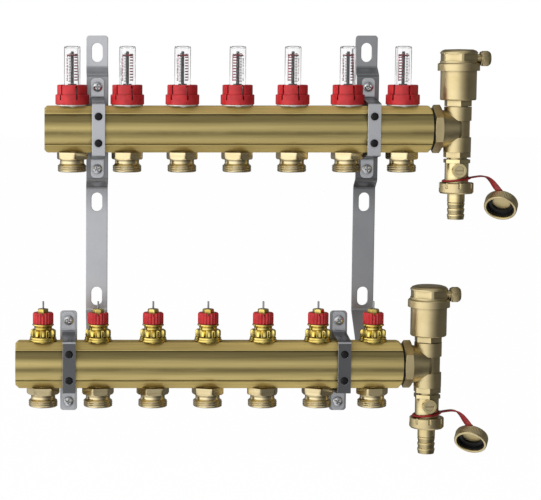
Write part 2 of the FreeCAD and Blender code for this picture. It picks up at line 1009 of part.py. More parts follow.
def build_nipples():
    """Fourteen nipples, each turned to the angle at which its thread grew tight."""
    nipple_step, nipple_return_step = 37, 11
    master = nipple_master()
    nipples = []
    for bar in BARS:
        for index in outlets():
            copy = linked(master, "Nipple")
            low = bar_axis_z(bar) - size("bar_height") / 2
            angle = nipple_step * index + (nipple_return_step if bar == "return" else 0)
            spin = Rotation(Vector(0, 0, 1), angle % 60)
            place(copy, outlet_x(bar, index), bar_axis_y(bar), low, spin)
            nipples.append(copy)
    keep(group_of("Nipples", nipples), "outlet_nipples")


def spigot_outline(bore, bottom):
    """Outline of an insert's spigot and cage: from the bore up its outside to the bar's top."""
    spigot, cage = size("spigot_radius"), size("cage_radius")
    ring, wide = size("groove_radius"), size("groove_width")
    middle = size("groove_depth_position")
    return [
        (bore, -bottom),
        (cage, -bottom),
        (cage, -size("spigot_depth")),
        (spigot, -size("spigot_depth")),
        (spigot, -middle - wide / 2),
        (ring, -middle - wide / 2),
        (ring, -middle + wide / 2),
        (spigot, -middle + wide / 2),
        (spigot, 0),
    ]


def cut_windows(body):
    """Three windows in the cage, where water passes between bar and seat."""
    wide = size("window_width") / 2
    window = new_sketch(body, "XZ_Plane")
    top, low = -size("window_top"), -size("window_bottom")
    add_outline(window, [(-wide, low), (wide, low), (wide, top), (-wide, top)])
    first = pocket(body, window, size("cage_radius") + 2)
    repeat_round(body, first, as_size(3))


def build_seals():
    """O-rings on every spigot, flat gaskets on the tees and seat rings under the balls."""
    ring = doc.addObject("Part::Torus", "RingMaster")
    bind(ring, "Radius1", size("ring_radius"))
    bind(ring, "Radius2", size("ring_wire_radius"))
    rings = []
    for bar in BARS:
        for index in outlets():
            copy = linked(ring, "Ring")
            height = size("bar_height") / 2 - size("groove_depth_position")
            place(copy, outlet_x(bar, index), bar_axis_y(bar), bar_axis_z(bar) + height)
            rings.append(copy)

    gasket = new_body("GasketMaster")
    inner, outer = size("tee_spigot_radius") + 0.05, size("gasket_radius")
    turn(gasket, tube_outline(inner, outer, 0, size("gasket_thickness")))
    seat = new_body("SeatRingMaster")
    low = size("ball_height") + size("ball_radius") * 0.8
    turn(
        seat,
        [
            (size("seat_ring_bore_radius"), -low - size("seat_ring_depth")),
            (size("ball_seat_radius"), -low - size("seat_ring_depth")),
            (size("ball_seat_radius"), -low + 0.6),
            (size("ball_radius") * 0.8, -low + 0.6),
            (size("seat_ring_bore_radius"), -low - 0.6),
        ],
    )
    for bar in BARS:
        copy = linked(gasket, "Gasket")
        across = Rotation(Vector(0, 1, 0), 90)
        place(copy, bar_left(bar) + bar_length(), bar_axis_y(bar), bar_axis_z(bar), across)
        rings.append(copy)
        copy = linked(seat, "SeatRing")
        on_tee(copy, bar, -size("tee_bottom"))
        rings.append(copy)
    keep(group_of("Seals", rings), "seal_rings")


def spring_master(name, radius, wire, low, high, turns):
    """A coil spring about Z whose wire lies between two heights."""
    body = new_body(name)
    section = new_sketch(body, "XZ_Plane")
    add_circle(section, wire, radius, low + wire)
    coil = body.newObject("PartDesign::AdditiveHelix", "Helix")
    coil.Profile = section
    coil.ReferenceAxis = (section, ["V_Axis"])
    coil.Mode = "height-turns-angle"
    coil.Angle = 0
    bind(coil, "Height", high - low - wire * 2)
    bind(coil, "Turns", turns)
    finish_feature(body, coil)
    return body


def build_springs():
    inset = as_size(0.02)
    meter = spring_master(
        "MeterSpringMaster",
        size("meter_spring_radius"),
        size("meter_spring_wire"),
        -size("cage_floor_top") + inset,
        size("spring_collar_bottom") - inset,
        size("meter_spring_turns"),
    )
    valve = spring_master(
        "ValveSpringMaster",
        size("valve_spring_radius"),
        size("valve_spring_wire"),
        size("insert_floor_top") + inset,
        size("pin_collar_bottom") - inset,
        size("valve_spring_turns"),
    )
    for master, bar, label in (
        (meter, "supply", "flow_meter_springs"),
        (valve, "return", "valve_springs"),
    ):
        springs = []
        for index in outlets():
            copy = linked(master, "Spring")
            on_bar_top(copy, bar, index)
            springs.append(copy)
        keep(group_of("Springs", springs), label)


# ---------------------------------------------------------------- flow meters


def meter_body_master():
    body = new_body("MeterBodyMaster")
    flange, sleeve = size("meter_flange_radius"), size("sleeve_radius")
    bore, guide = size("meter_bore_radius"), size("rod_guide_radius")
    cage = size("cage_bore_radius")
    turn(
        body,
        spigot_outline(cage, size("port_depth"))
        + [
            (flange, 0),
            (flange, size("meter_flange_height")),
            (sleeve, size("meter_flange_height")),
            (sleeve, size("sleeve_top")),
            (size("tube_radius"), size("sleeve_top")),
            (size("tube_radius"), size("tube_seat")),
            (bore, size("tube_seat")),
            (bore, -size("cage_floor_top")),
            (guide, -size("cage_floor_top")),
            (guide, -size("cage_floor_bottom")),
            (cage, -size("cage_floor_bottom")),
        ],
    )
    cut_windows(body)
    return body


def sight_tube_master():
    body = new_body("SightTubeMaster")
    outer, bore = size("tube_radius"), size("tube_bore_radius")
    flange, seat = size("sleeve_radius"), size("sleeve_top")
    top, ceiling = size("tube_top"), size("tube_bore_top")
    turn(
        body,
        [
            (bore, size("tube_seat")),
            (outer, size("tube_seat")),
            (outer, seat),
            (flange, seat),
            (flange, seat + size("tube_flange_height")),
            (outer, seat + size("tube_flange_height")),
            (outer, top - 1),
            (outer - 0.5, top - 0.3),
            (outer - 1.5, top),
            (0, top + 0.4),
            (0, ceiling),
            (bore - 1, ceiling),
            (bore, ceiling - 1),
        ],
    )
    return body


def flow_collar_master():
    """The red collar: a hub that turns on the sleeve, and a slitted skirt in two steps."""
    body = new_body("CollarMaster")
    wide, narrow = size("collar_lower_radius"), size("collar_upper_radius")
    hollow, clear = size("collar_hollow_radius"), size("collar_clearance")
    low, step, top = size("collar_bottom"), size("collar_step"), size("collar_top")
    hub, lip = size("sleeve_radius") + clear, size("collar_lip_height")
    turn(
        body,
        [
            (hub, low),
            (wide - 0.4, low),
            (wide, low + 0.4),
            (wide, step - 0.5),
            (wide - 0.5, step),
            (narrow, step),
            (narrow, top - 0.6),
            (narrow - 0.6, top),
            (size("tube_radius") + 0.1, top),
            (size("tube_radius") + 0.1, lip),
            (hollow, lip),
            (hollow, size("collar_hub_top")),
            (hub, size("collar_hub_top")),
        ],
    )
    half = size("collar_slit_width") / 2
    slit = new_sketch(body, "XY_Plane", size("collar_slit_bottom"))
    inside, outside = hollow - 0.2, wide + 1
    add_outline(slit, [(inside, -half), (outside, -half), (outside, half), (inside, half)])
    first = pocket(body, slit, top - size("collar_slit_bottom") + 1, backwards=True)
    repeat_round(body, first, as_size(6))
    return body


def indicator_master():
    """Rod, pointer, spring collar and flow plate of a flow meter, in one piece."""
    body = new_body("IndicatorMaster")
    rod, pointer = size("rod_radius"), size("pointer_radius")
    mark, thick = size("pointer_bottom"), size("pointer_height")
    stop, plate = size("spring_collar_bottom"), size("plate_top")
    turn(
        body,
        [
            (0, -plate - size("plate_thickness")),
            (size("plate_radius"), -plate - size("plate_thickness")),
            (size("plate_radius"), -plate),
            (rod, -plate),
            (rod, stop),
            (size("spring_collar_radius"), stop),
            (size("spring_collar_radius"), stop + thick),
            (rod, stop + thick),
            (rod, mark),
            (pointer, mark),
            (pointer, mark + thick),
            (rod, mark + thick),
            (rod, size("rod_top") - 0.4),
            (rod - 0.4, size("rod_top")),
            (0, size("rod_top")),
        ],
    )
    return body


def keep_row(master, bar, label, rotation=None):
    """Seven separate, numbered sub-parts, one at each outlet."""
    for index in outlets():
        link = keep(linked(master, label), f"{label}_{index + 1}")
        on_bar_top(link, bar, index, rotation)


def keep_group_row(master, bar, label):
    """Seven equal solids in one sub-part, one at each outlet."""
    copies = []
    for index in outlets():
        copy = linked(master, "Copy")
        on_bar_top(copy, bar, index)
        copies.append(copy)
    keep(group_of("Row", copies), label)


def build_flow_meters():
    keep_group_row(meter_body_master(), "supply", "flow_meter_bodies")
    keep_group_row(sight_tube_master(), "supply", "sight_tubes")
    collar_angle = Rotation(Vector(0, 0, 1), -15)
    keep_row(flow_collar_master(), "supply", "flow_collar", collar_angle)
    keep_row(indicator_master(), "supply", "flow_indicator")


# ---------------------------------------------------------------- valve inserts


def insert_body_master():
    body = new_body("InsertMaster")
    flange, spline = size("insert_flange_radius"), size("spline_radius")
    neck, neck_top = size("insert_neck_radius"), size("insert_neck_top")
    lip, lip_top = size("insert_lip_radius"), size("insert_lip_top")
    sleeve, sleeve_top = size("insert_sleeve_radius"), size("insert_sleeve_top")
    flange_top, spline_top = size("insert_flange_top"), size("spline_top")
    bore, guide = size("insert_bore_radius"), size("stem_guide_radius")
    cage = size("insert_cage_bore_radius")
    turn(
        body,
        spigot_outline(cage, size("port_depth"))
        + [
            (flange - 0.4, 0),
            (flange, 0.4),
            (flange, flange_top - 1.2),
            (spline, flange_top),
            (spline, spline_top - 0.5),
            (spline - 0.5, spline_top),
            (neck + 1.2, spline_top),
            (neck, spline_top + 1.2),
            (neck, neck_top - 0.6),
            (lip, neck_top),
            (lip, lip_top),
            (sleeve, lip_top),
            (sleeve, sleeve_top),
            (bore, sleeve_top),
            (bore, size("insert_floor_top")),
            (guide, size("insert_floor_top")),
            (guide, size("insert_floor_bottom")),
            (cage, size("insert_floor_bottom") - 2),
        ],
    )
    cut_windows(body)
    gap = new_sketch(body, "XY_Plane", flange_top)
    add_circle(gap, size("spline_gap_radius"), spline + 0.2)
    first = pocket(body, gap, spline_top - flange_top + 1, backwards=True)
    repeat_round(body, first, size("spline_count"))
    return body


def gland_nut_master():
    body = new_body("GlandMaster")
    low, top = size("insert_sleeve_top"), size("insert_sleeve_top") + size("gland_height")
    bore, spigot = size("pin_bore_radius"), size("insert_bore_radius")
    core = size("gland_hex_radius") * COS_30
    turn(
        body,
        [
            (bore, low - size("gland_spigot_depth")),
            (spigot, low - size("gland_spigot_depth")),
            (spigot, low),
            (core - 0.2, low),
            (core - 0.2, top),
            (bore, top),
        ],
    )
    nut = new_sketch(body, "XY_Plane", low)
    add_outline(nut, hexagon(size("gland_hex_radius")))
    add_circle(nut, core - 1)
    pad(body, nut, size("gland_height"))
    edge = size("gland_hex_radius") + 1
    drop = (edge - core) * 0.8
    groove(body, [(core, top), (edge, top), (edge, top - drop)])
    return body


def valve_pin_master():
    """Pin, spring collar, stem and valve disc, in one piece."""
    body = new_body("ValvePinMaster")
    pin, stem, collar = size("pin_radius"), size("stem_radius"), size("pin_collar_radius")
    top, stop = size("pin_top"), size("pin_collar_bottom")
    disc, face = size("disc_radius"), -size("disc_top")
    turn(
        body,
        [
            (0, face - size("disc_thickness")),
            (disc, face - size("disc_thickness")),
            (disc, face),
            (stem, face),
            (stem, stop),
            (collar, stop),
            (collar, stop + size("pin_collar_height")),
            (pin, stop + size("pin_collar_height")),
            (pin, top - 0.4),
            (pin - 0.4, top),
            (0, top),
        ],
    )
    return body


def preset_ring_master():
    """The red preset ring, grooved for grip, with one deep notch as its pointer."""
    body = new_body("PresetMaster")
    outer, bore = size("preset_radius"), size("preset_bore_radius")
    low, top = size("preset_bottom"), size("preset_top")
    turn(
        body,
        [
            (bore, low),
            (outer - 0.3, low),
            (outer, low + 0.3),
            (outer, top - 0.5),
            (outer - 0.5, top),
            (bore, top),
        ],
    )
    rib = new_sketch(body, "XY_Plane", low + 1)
    add_circle(rib, size("preset_groove_radius"), outer + 0.1)
    first = pocket(body, rib, top - low, backwards=True)
    repeat_round(body, first, size("preset_rib_count"))
    notch = new_sketch(body, "XY_Plane", low)
    add_circle(notch, size("preset_notch_radius"), 0, -outer)
    pocket(body, notch, top - low + 1, backwards=True)
    return body


def build_valve_inserts():
    keep_group_row(insert_body_master(), "return", "valve_insert_bodies")
    keep_group_row(gland_nut_master(), "return", "valve_gland_nuts")
    keep_row(valve_pin_master(), "return", "valve_pin")
    keep_row(preset_ring_master(), "return", "preset_ring")


# ---------------------------------------------------------------- end tees


def tee_master():
    """The end fitting: X 0 is the bar's end face, Z 0 is the bar's axis."""
    body = new_body("TeeMaster")
    axis, gap = size("tee_axis"), size("gasket_thickness")
    spigot, hexagon_end = size("tee_spigot_radius"), size("tee_hex_end")
    branch, tip = size("tee_branch_radius"), size("tee_branch_tip_radius")
    turn(
        body,
        [
            (-size("tee_spigot_length"), 0),
            (-size("tee_spigot_length"), spigot - 1),
            (-size("tee_spigot_length") + 1, spigot),
            (gap, spigot),
            (gap, size("tee_hex_radius") * COS_30 - 0.3),
            (hexagon_end, size("tee_hex_radius") * COS_30 - 0.3),
            (hexagon_end, branch),
            (size("tee_branch_end"), tip),
            (size("tee_nose_end"), tip - 1.8),
            (size("tee_nose_end"), 0),
        ],
        axis="H_Axis",
    )
    nut = new_sketch(body, "YZ_Plane", gap)
    add_outline(nut, upright_hexagon(size("tee_hex_radius")))
    pad(body, nut, hexagon_end - gap)
    corner, flat = size("tee_hex_radius"), size("tee_hex_radius") * COS_30
    slope = (corner + 2 - flat) * 0.3
    groove(
        body,
        [(gap, flat), (gap, corner + 2), (gap + slope, corner + 2)],
        [(hexagon_end, flat), (hexagon_end, corner + 2), (hexagon_end - slope, corner + 2)],
        axis="H_Axis",
    )
    upright_tee(body)
    return body


def upright_tee(body):
    """The tee's upright barrel, its lower hexagon and its branch bores."""
    axis, waist, collar = size("tee_axis"), size("tee_waist_radius"), size("tee_collar_radius")
    top, low = size("tee_top"), size("tee_bottom")
    waist_top, hexagon_top = size("tee_waist_top"), size("tee_hex_top")
    for radius, bottom, height in (
        (waist, -hexagon_top, hexagon_top + top),
        (collar, waist_top, top - waist_top),
        (collar, -hexagon_top, hexagon_top - waist_top),
    ):
        barrel = new_sketch(body, "XY_Plane", bottom)
        add_circle(barrel, radius, axis)
        pad(body, barrel, height)
    nut = new_sketch(body, "XY_Plane", -low)
    add_outline(nut, [(axis + across, up) for across, up in upright_hexagon(collar * 1.04)])
    pad(body, nut, low - hexagon_top)
    thread, depth = size("branch_thread_radius"), size("branch_thread_depth")
    bores = (
        (size("branch_bore_radius"), -low, low + top),
        (thread, top - depth, depth),
        (thread, -low, depth),
    )
    for radius, bottom, height in bores:
        bore = new_sketch(body, "XY_Plane", bottom)
        add_circle(bore, radius, axis)
        pocket(body, bore, height, backwards=True)
    waterway = new_sketch(body, "YZ_Plane", -size("tee_spigot_length"))
    add_circle(waterway, size("tee_bore_radius"))
    pocket(body, waterway, size("tee_spigot_length") + size("tee_hex_end"), backwards=True)
    throat = new_sketch(body, "YZ_Plane", size("tee_hex_end") - 1)
    add_circle(throat, size("branch_bore_radius"))
    pocket(body, throat, axis - size("tee_hex_end") + 1, backwards=True)


def build_tees():
    master = tee_master()
    tees = []
    for bar in BARS:
        tee = linked(master, "Tee")
        place(tee, bar_left(bar) + bar_length(), bar_axis_y(bar), bar_axis_z(bar))
        tees.append(tee)
    keep(group_of("Tees", tees), "end_tees")


def keep_pair(master, height, label):
    """One equal piece on each tee, together in one sub-part."""
    pieces = []
    for bar in BARS:
        piece = linked(master, "Piece")
        on_tee(piece, bar, height)
        pieces.append(piece)
    keep(group_of("Pair", pieces), label)


def keep_each(master, height, label, dx=0, dy=0, dz=0, rotation=None):
    """One piece on each tee, each its own sub-part."""
    for bar in BARS:
        piece = keep(linked(master, label), f"{bar}_{label}")
        x = bar_left(bar) + bar_length() + size("tee_axis") + dx
        place(piece, x, bar_axis_y(bar) + dy, bar_axis_z(bar) + height + dz, rotation)


# ---------------------------------------------------------------- air vents


def vent_body_master():
    """The float chamber: Z 0 is the tee's top."""
    body = new_body("VentMaster")
    low, high = size("vent_hex_bottom"), size("vent_hex_top")
    core = size("vent_hex_radius") * COS_30
    inlet, chamber = size("vent_inlet_radius"), size("vent_chamber_radius")
    thread = size("cover_thread_radius")
    turn(
        body,
        [
            (inlet, -size("vent_spigot_depth")),
            (size("vent_spigot_radius"), -size("vent_spigot_depth")),
            (size("vent_spigot_radius"), low),
            (core - 0.2, low),
            (core - 0.2, high),
            (size("vent_radius") - 0.8, high),
            (size("vent_radius"), high + 0.8),
            (size("vent_radius"), size("vent_rim_bottom")),
            (size("vent_rim_radius"), size("vent_rim_bottom")),
            (size("vent_rim_radius"), size("vent_rim_top") - 1),
            (size("vent_rim_radius") - 1, size("vent_rim_top")),
            (thread, size("vent_rim_top")),
            (thread, size("vent_rim_top") - size("cover_skirt_depth") - 0.5),
            (chamber, size("vent_rim_top") - size("cover_skirt_depth") - 0.5),
            (chamber, size("vent_floor")),
            (inlet, size("vent_floor")),
        ],
    )
    nut = new_sketch(body, "XY_Plane", low)
    add_outline(nut, upright_hexagon(size("vent_hex_radius")))
    add_circle(nut, core - 1)
    pad(body, nut, high - low)
    return body


def vent_cover_master():
    """The cover that screws into the rim, with wrench flats and a side outlet along +X."""
    body = new_body("CoverMaster")
    skirt, inner = size("cover_skirt_radius"), size("cover_inner_radius")
    rim, outer = size("vent_rim_top"), size("cover_radius")
    turn(
        body,
        [
            (inner, rim - size("cover_skirt_depth")),
            (skirt, rim - size("cover_skirt_depth")),
            (skirt, rim),
            (outer, rim),
            (outer, size("cover_shoulder")),
            (outer - 1.6, size("cover_top") - 1),
            (outer - 4.4, size("cover_top")),
            (0, size("cover_top") + 0.3),
            (0, size("cover_ceiling")),
            (inner, size("cover_ceiling")),
        ],
    )
    # Six flats, the first of them under the outlet, which end below the round top.
    flat, reach = size("cover_flat_distance"), size("cover_radius") + 3
    start, end = rim + 1.8, size("cover_shoulder") - 1.2
    cut = new_sketch(body, "XZ_Plane")
    add_outline(cut, [(flat, start), (reach, start), (reach, end), (flat, end)])
    before = volume_of(body)
    side = body.newObject("PartDesign::Pocket", "Pocket")
    side.Profile = cut
    side.SideType = "Symmetric"
    bind(side, "Length", reach * 2)
    must_change(body, side, before, -1)
    repeat_round(body, side, as_size(6))
    boss = new_sketch(body, "YZ_Plane", inner + 1)
    add_circle(boss, size("outlet_radius"), 0, size("outlet_height"))
    pad(body, boss, size("outlet_length") - inner - 1)
    bore = new_sketch(body, "YZ_Plane", inner - 2)
    add_circle(bore, size("outlet_bore_radius"), 0, size("outlet_height"))
    pocket(body, bore, size("outlet_length") - inner + 3, backwards=True)
    return body


def float_master():
    body = new_body("FloatMaster")
    low, tall = size("float_bottom"), size("float_height")
    wide, pin = size("float_radius"), size("float_pin_radius")
    turn(
        body,
        [
            (0, low),
            (wide - 1, low),
            (wide, low + 1),
            (wide, low + tall - 1),
            (wide - 1, low + tall),
            (pin, low + tall),
            (pin, low + tall + size("float_pin_length")),
            (0, low + tall + size("float_pin_length")),
        ],
    )
    return body


def side_cap_master():
    """The knurled cap on the vent's outlet: Z runs along the outlet, from the vent's axis."""
    body = new_body("SideCapMaster")
    outer, bore = size("side_cap_radius"), size("side_cap_bore_radius")
    start, seat, end = size("side_cap_start"), size("side_cap_seat"), size("side_cap_end")
    turn(
        body,
        [
            (bore, start),
            (outer - 0.4, start),
            (outer, start + 0.4),
            (outer, end - 1.6),
            (outer - 0.5, end - 0.6),
            (outer - 1.6, end),
            (0, end),
            (0, seat),
            (bore, seat),
        ],
    )
    return body


def build_vents():
    top = size("tee_top")
    keep_pair(vent_body_master(), top, "vent_bodies")
    keep_pair(vent_cover_master(), top, "vent_covers")
    keep_each(float_master(), top, "vent_float")
    along = Rotation(Vector(0, 1, 0), 90)
    keep_each(side_cap_master(), top, "vent_side_cap", dz=size("outlet_height"), rotation=along)


# ---------------------------------------------------------------- drain valves


def drain_body_master():
    """The drain valve's body: Z 0 is the tee's bottom, and the spindle faces -Y."""
    body = new_body("DrainMaster")
    inlet, seat = size("drain_inlet_radius"), size("ball_seat_radius")
    outer, union = size("drain_radius"), size("drain_union_radius")
    neck, shoulder = size("drain_neck"), size("drain_shoulder")
    hexagon_bottom = size("drain_hex_bottom")
    turn(
        body,
        [
            (inlet, size("drain_spigot_depth")),
            (inlet, -size("drain_union_bottom")),
            (union - 0.6, -size("drain_union_bottom")),
            (union, -size("drain_union_bottom") + 0.6),
            (union, -shoulder - 2),
            (outer, -shoulder - 2),
            (outer, -neck),
            (size("drain_spigot_radius"), -neck),
            (size("drain_spigot_radius"), size("drain_spigot_depth")),
        ],
    )
    nut = new_sketch(body, "XY_Plane", -hexagon_bottom)
    add_outline(nut, upright_hexagon(size("drain_hex_radius") * 1.06))
    add_circle(nut, outer - 1)
    pad(body, nut, hexagon_bottom - neck)
    boss = new_sketch(body, "XZ_Plane")
    add_circle(boss, size("boss_radius"), 0, -size("ball_height"))
    pad(body, boss, size("boss_reach"))
    middle = -size("ball_height")
    chamber = new_sketch(body, "XY_Plane", -size("drain_union_bottom"))
    add_circle(chamber, seat)
    pocket(body, chamber, size("drain_union_bottom") - size("ball_height"), backwards=True)
    cavity = new_sketch(body, "XZ_Plane")
    add_dome(cavity, seat, middle)
    hollow = body.newObject("PartDesign::Groove", "Groove")
    hollow.Profile = cavity
    hollow.ReferenceAxis = (cavity, ["V_Axis"])
    hollow.Angle = 360
    finish_feature(body, hollow)
    spindle = new_sketch(body, "XZ_Plane")
    add_circle(spindle, size("spindle_bore_radius"), 0, middle)
    pocket(body, spindle, size("boss_reach") + 1, backwards=True)
    return body


def add_dome(sketch, radius, height):
    """A quarter circle with its two radii: turned about the upright axis, half a ball."""
    start = sketch.GeometryCount
    centre = Vector(0, height.value, 0)
    top = Vector(0, height.value + radius.value, 0)
    side = Vector(radius.value, height.value, 0)
    circle = Part.Circle(centre, Vector(0, 0, 1), radius.value)
    sketch.addGeometry(
        [
            Part.ArcOfCircle(circle, 0, math.pi / 2),
            Part.LineSegment(top, centre),
            Part.LineSegment(centre, side),
        ],
        False,
    )
    ends = ((0, 2, 1, 1), (1, 2, 2, 1), (2, 2, 0, 1))
    for first, first_end, second, second_end in ends:
        rule = ("Coincident", start + first, first_end, start + second, second_end)
        sketch.addConstraint(Sketcher.Constraint(*rule))
    sketch.addConstraint(Sketcher.Constraint("Coincident", start, 3, start + 1, 2))
    sketch.addConstraint(Sketcher.Constraint("Vertical", start + 1))
    sketch.addConstraint(Sketcher.Constraint("Horizontal", start + 2))
    fix_radius(sketch, start, radius)
    fix_point(sketch, start, 3, 0, height)


def spindle_parts():
    """Ball and slotted spindle: Z 0 is the ball's centre, the slot faces -Y."""
    ball = doc.addObject("Part::Sphere", "Ball")
    bind(ball, "Radius", size("ball_radius"))
    stem = doc.addObject("Part::Cylinder", "Stem")
    bind(stem, "Radius", size("spindle_radius"))
    bind(stem, "Height", size("spindle_reach"))
    stem.Placement = Placement(Vector(), Rotation(Vector(1, 0, 0), 90))
    solid = doc.addObject("Part::Fuse", "BallAndStem")
    solid.Base = ball
    solid.Tool = stem
    bore = doc.addObject("Part::Cylinder", "BallBore")
    bind(bore, "Radius", size("ball_bore_radius"))
    bind(bore, "Height", size("ball_radius") * 2 + 2)
    place(bore, 0, 0, -size("ball_radius") - 1)
    bored = doc.addObject("Part::Cut", "BoredBall")
    bored.Base = solid
    bored.Tool = bore
    slot = doc.addObject("Part::Box", "SpindleSlot")
    bind(slot, "Length", size("spindle_radius") * 2 + 2)
    bind(slot, "Width", size("spindle_slot_depth") + 1)
    bind(slot, "Height", size("spindle_slot_width"))
    reach = size("spindle_reach")
    place(slot, -size("spindle_radius") - 1, -reach - 1, -size("spindle_slot_width") / 2)
    slotted = doc.addObject("Part::Cut", "DrainSpindleMaster")
    slotted.Base = bored
    slotted.Tool = slot
    doc.recompute()
    return slotted


def union_nut_master():
    body = new_body("UnionNutMaster")
    top, low, lip = -size("nut_top"), -size("nut_bottom"), size("nut_lip")
    bore, mouth = size("nut_bore_radius"), size("nut_lip_radius")
    turn(
        body,
        [
            (mouth, low),
            (size("nut_low_radius"), low),
            (size("nut_radius"), low + 1.4),
            (size("nut_radius"), top - 0.6),
            (size("nut_radius") - 0.6, top),
            (bore, top),
            (bore, low + lip),
            (mouth, low + lip),
        ],
    )
    notch = new_sketch(body, "XY_Plane", top - size("nut_notch_depth"))
    add_circle(notch, size("nut_notch_radius"), size("nut_radius") + 0.4)
    first = pocket(body, notch, size("nut_notch_depth") + 1, backwards=True)
    repeat_round(body, first, size("nut_notch_count"))
    return body


def hose_tail_master():
    """Flange, plain neck and three barbs, along the drain's axis."""
    body = new_body("TailMaster")
    seat = -size("nut_bottom") + size("nut_lip")
    flange_top = seat + size("tail_flange_height")
    bore, plain = size("tail_bore_radius"), size("tail_radius")
    root, barb = size("tail_root_radius"), size("tail_barb_radius")
    plain_end = -size("nut_bottom") - size("tail_plain_length")
    end, pitch = -size("tail_end"), size("tail_barb_pitch")
    neck_relief = size("tail_neck_relief")
    outline = [
        (bore, flange_top),
        (size("tail_flange_radius"), flange_top),
        (size("tail_flange_radius"), seat),
        (plain - neck_relief, seat),
        (plain - neck_relief, -size("nut_bottom")),
        (plain, -size("nut_bottom")),
        (plain, plain_end),
    ]
    for index in range(3):
        top = end + pitch * (3 - index)
        outline += [
            (root, top),
            (barb, top - pitch * 0.12),
            (barb, top - pitch * 0.34),
            (root, top - pitch * 0.96),
        ]
    outline += [(root, end), (bore, end)]
    turn(body, outline)
    return body


def build_drains():
    low = -size("tee_bottom")
    keep_pair(drain_body_master(), low, "drain_bodies")
    keep_pair(union_nut_master(), low, "union_nuts")
    keep_pair(hose_tail_master(), low, "hose_tails")
    keep_each(spindle_parts(), low, "drain_spindle", dz=-size("ball_height"))


# ---------------------------------------------------------------- drain caps


def cap_rotation():
    """The hanging cap's open side looks down, to the front and a little to the left."""
    return Rotation(Vector(0, 0, 1), Vector(-0.33, -0.68, -0.655))


def strap_master():
    """A ring around the drain and a flat tail that bends down to the cap."""
    body = new_body("StrapMaster")
    thick, height = size("strap_thickness"), -size("strap_ring_depth")
    bore, outer = size("strap_ring_bore_radius"), size("strap_ring_radius")
    turn(body, tube_outline(bore, outer, height - thick / 2, height + thick / 2))
    path = new_sketch(body, "XZ_Plane")
    start, run = (bore + outer) / 2, size("strap_run")
    bend, angle = size("strap_bend_radius"), math.radians(SIZES["strap_bend_angle"])
    middle = Vector(run.value, height.value - bend.value, 0)
    end = middle + Vector(math.sin(angle), math.cos(angle), 0) * bend.value
    forward = Vector(math.cos(angle), -math.sin(angle), 0)
    circle = Part.Circle(middle, Vector(0, 0, 1), bend.value)
    run_start = Vector(start.value, height.value, 0)
    run_end = Vector(run.value, height.value, 0)
    path.addGeometry(
        [
            Part.LineSegment(run_start, run_end),
            Part.ArcOfCircle(circle, math.pi / 2 - angle, math.pi / 2),
            Part.LineSegment(end, end + forward * SIZES["strap_end_length"]),
        ],
        False,
    )
    path.addConstraint(
        [
            Sketcher.Constraint("Tangent", 0, 2, 1, 2),
            Sketcher.Constraint("Tangent", 1, 1, 2, 1),
        ]
    )
    fix_point(path, 0, 1, start, height)
    fix_point(path, 0, 2, run, height)
    fix_radius(path, 1, bend)
    index = path.addConstraint(Sketcher.Constraint("Angle", 1, angle))
    path.setExpression(f"Constraints[{index}]", "Sizes.strap_bend_angle * 1 deg")
    index = path.addConstraint(Sketcher.Constraint("Distance", 2, SIZES["strap_end_length"]))
    bind(path, f"Constraints[{index}]", size("strap_end_length"))
    section = new_sketch(body, "YZ_Plane", start)
    wide = size("strap_width") / 2
    high, low = height + thick / 2, height - thick / 2
    add_outline(section, [(-wide, low), (wide, low), (wide, high), (-wide, high)])
    before = volume_of(body)
    tail = body.newObject("PartDesign::AdditivePipe", "Pipe")
    tail.Profile = section
    tail.Spine = path
    must_change(body, tail, before, 1)
    return body


def cap_space():
    """The cylinder that the cap fills, which ends the strap."""
    space = doc.addObject("Part::Cylinder", "CapSpace")
    bind(space, "Radius", size("cap_radius"))
    bind(space, "Height", size("cap_height") + 12)
    place(space, size("cap_offset"), size("cap_back"), -size("cap_depth"), cap_rotation())
    return space


def cap_master():
    """A knurled cap about Z, open towards +Z, with its closed face at Z 0."""
    body = new_body("CapMaster")
    outer, tall = size("cap_radius"), size("cap_height")
    inner, floor = size("cap_radius") - size("cap_wall"), size("cap_floor")
    turn(
        body,
        [
            (0, 0),
            (outer - 1.5, 0),
            (outer, 1.5),
            (outer, tall - 0.6),
            (outer - 0.6, tall),
            (inner + 0.5, tall),
            (inner, tall - 0.5),
            (inner, floor),
            (0, floor),
        ],
    )
    return body


def cap_gasket_master():
    body = new_body("CapGasketMaster")
    outer = size("cap_radius") - size("cap_wall") - 0.05
    floor = size("cap_floor")
    turn(
        body,
        tube_outline(size("cap_gasket_bore_radius"), outer, floor, floor + size("cap_gasket_height")),
    )
    return body


def build_caps():
    low = -size("tee_bottom")
    strap = doc.addObject("Part::Cut", "TrimmedStrap")
    strap.Base = strap_master()
    strap.Tool = cap_space()
    doc.recompute()
    keep_each(strap, low, "cap_strap")
    for master, label in ((cap_master(), "drain_cap"), (cap_gasket_master(), "cap_gasket")):
        keep_each(
            master,
            low,
            label,
            dx=size("cap_offset"),
            dy=size("cap_back"),
            dz=-size("cap_depth"),
            rotation=cap_rotation(),
        )


# ---------------------------------------------------------------- build, check and write


def check_document():
    for item in doc.Objects:
        if {"Invalid", "Error"} & set(item.State):
            raise RuntimeError(f"{item.Label} failed: {item.State}")
    for item in subparts:
        shape = Part.getShape(item)
        if shape.isNull() or not shape.isValid() or not shape.Solids:
            raise RuntimeError(f"{item.Label} has no valid solid")


def write_parts():
    os.makedirs("parts", exist_ok=True)
    for item in subparts:
        Part.getShape(item).exportStep(os.path.join("parts", f"{item.Label}.step"))


write_sheet()
build_bars()
build_brackets()
build_clamps()
build_nipples()
build_seals()
build_springs()
build_flow_meters()
build_valve_inserts()
build_tees()
build_vents()
build_drains()
build_caps()
doc.recompute()
check_document()
write_parts()
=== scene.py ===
import json
import math

import bmesh
import bpy
from mathutils import Matrix, Vector


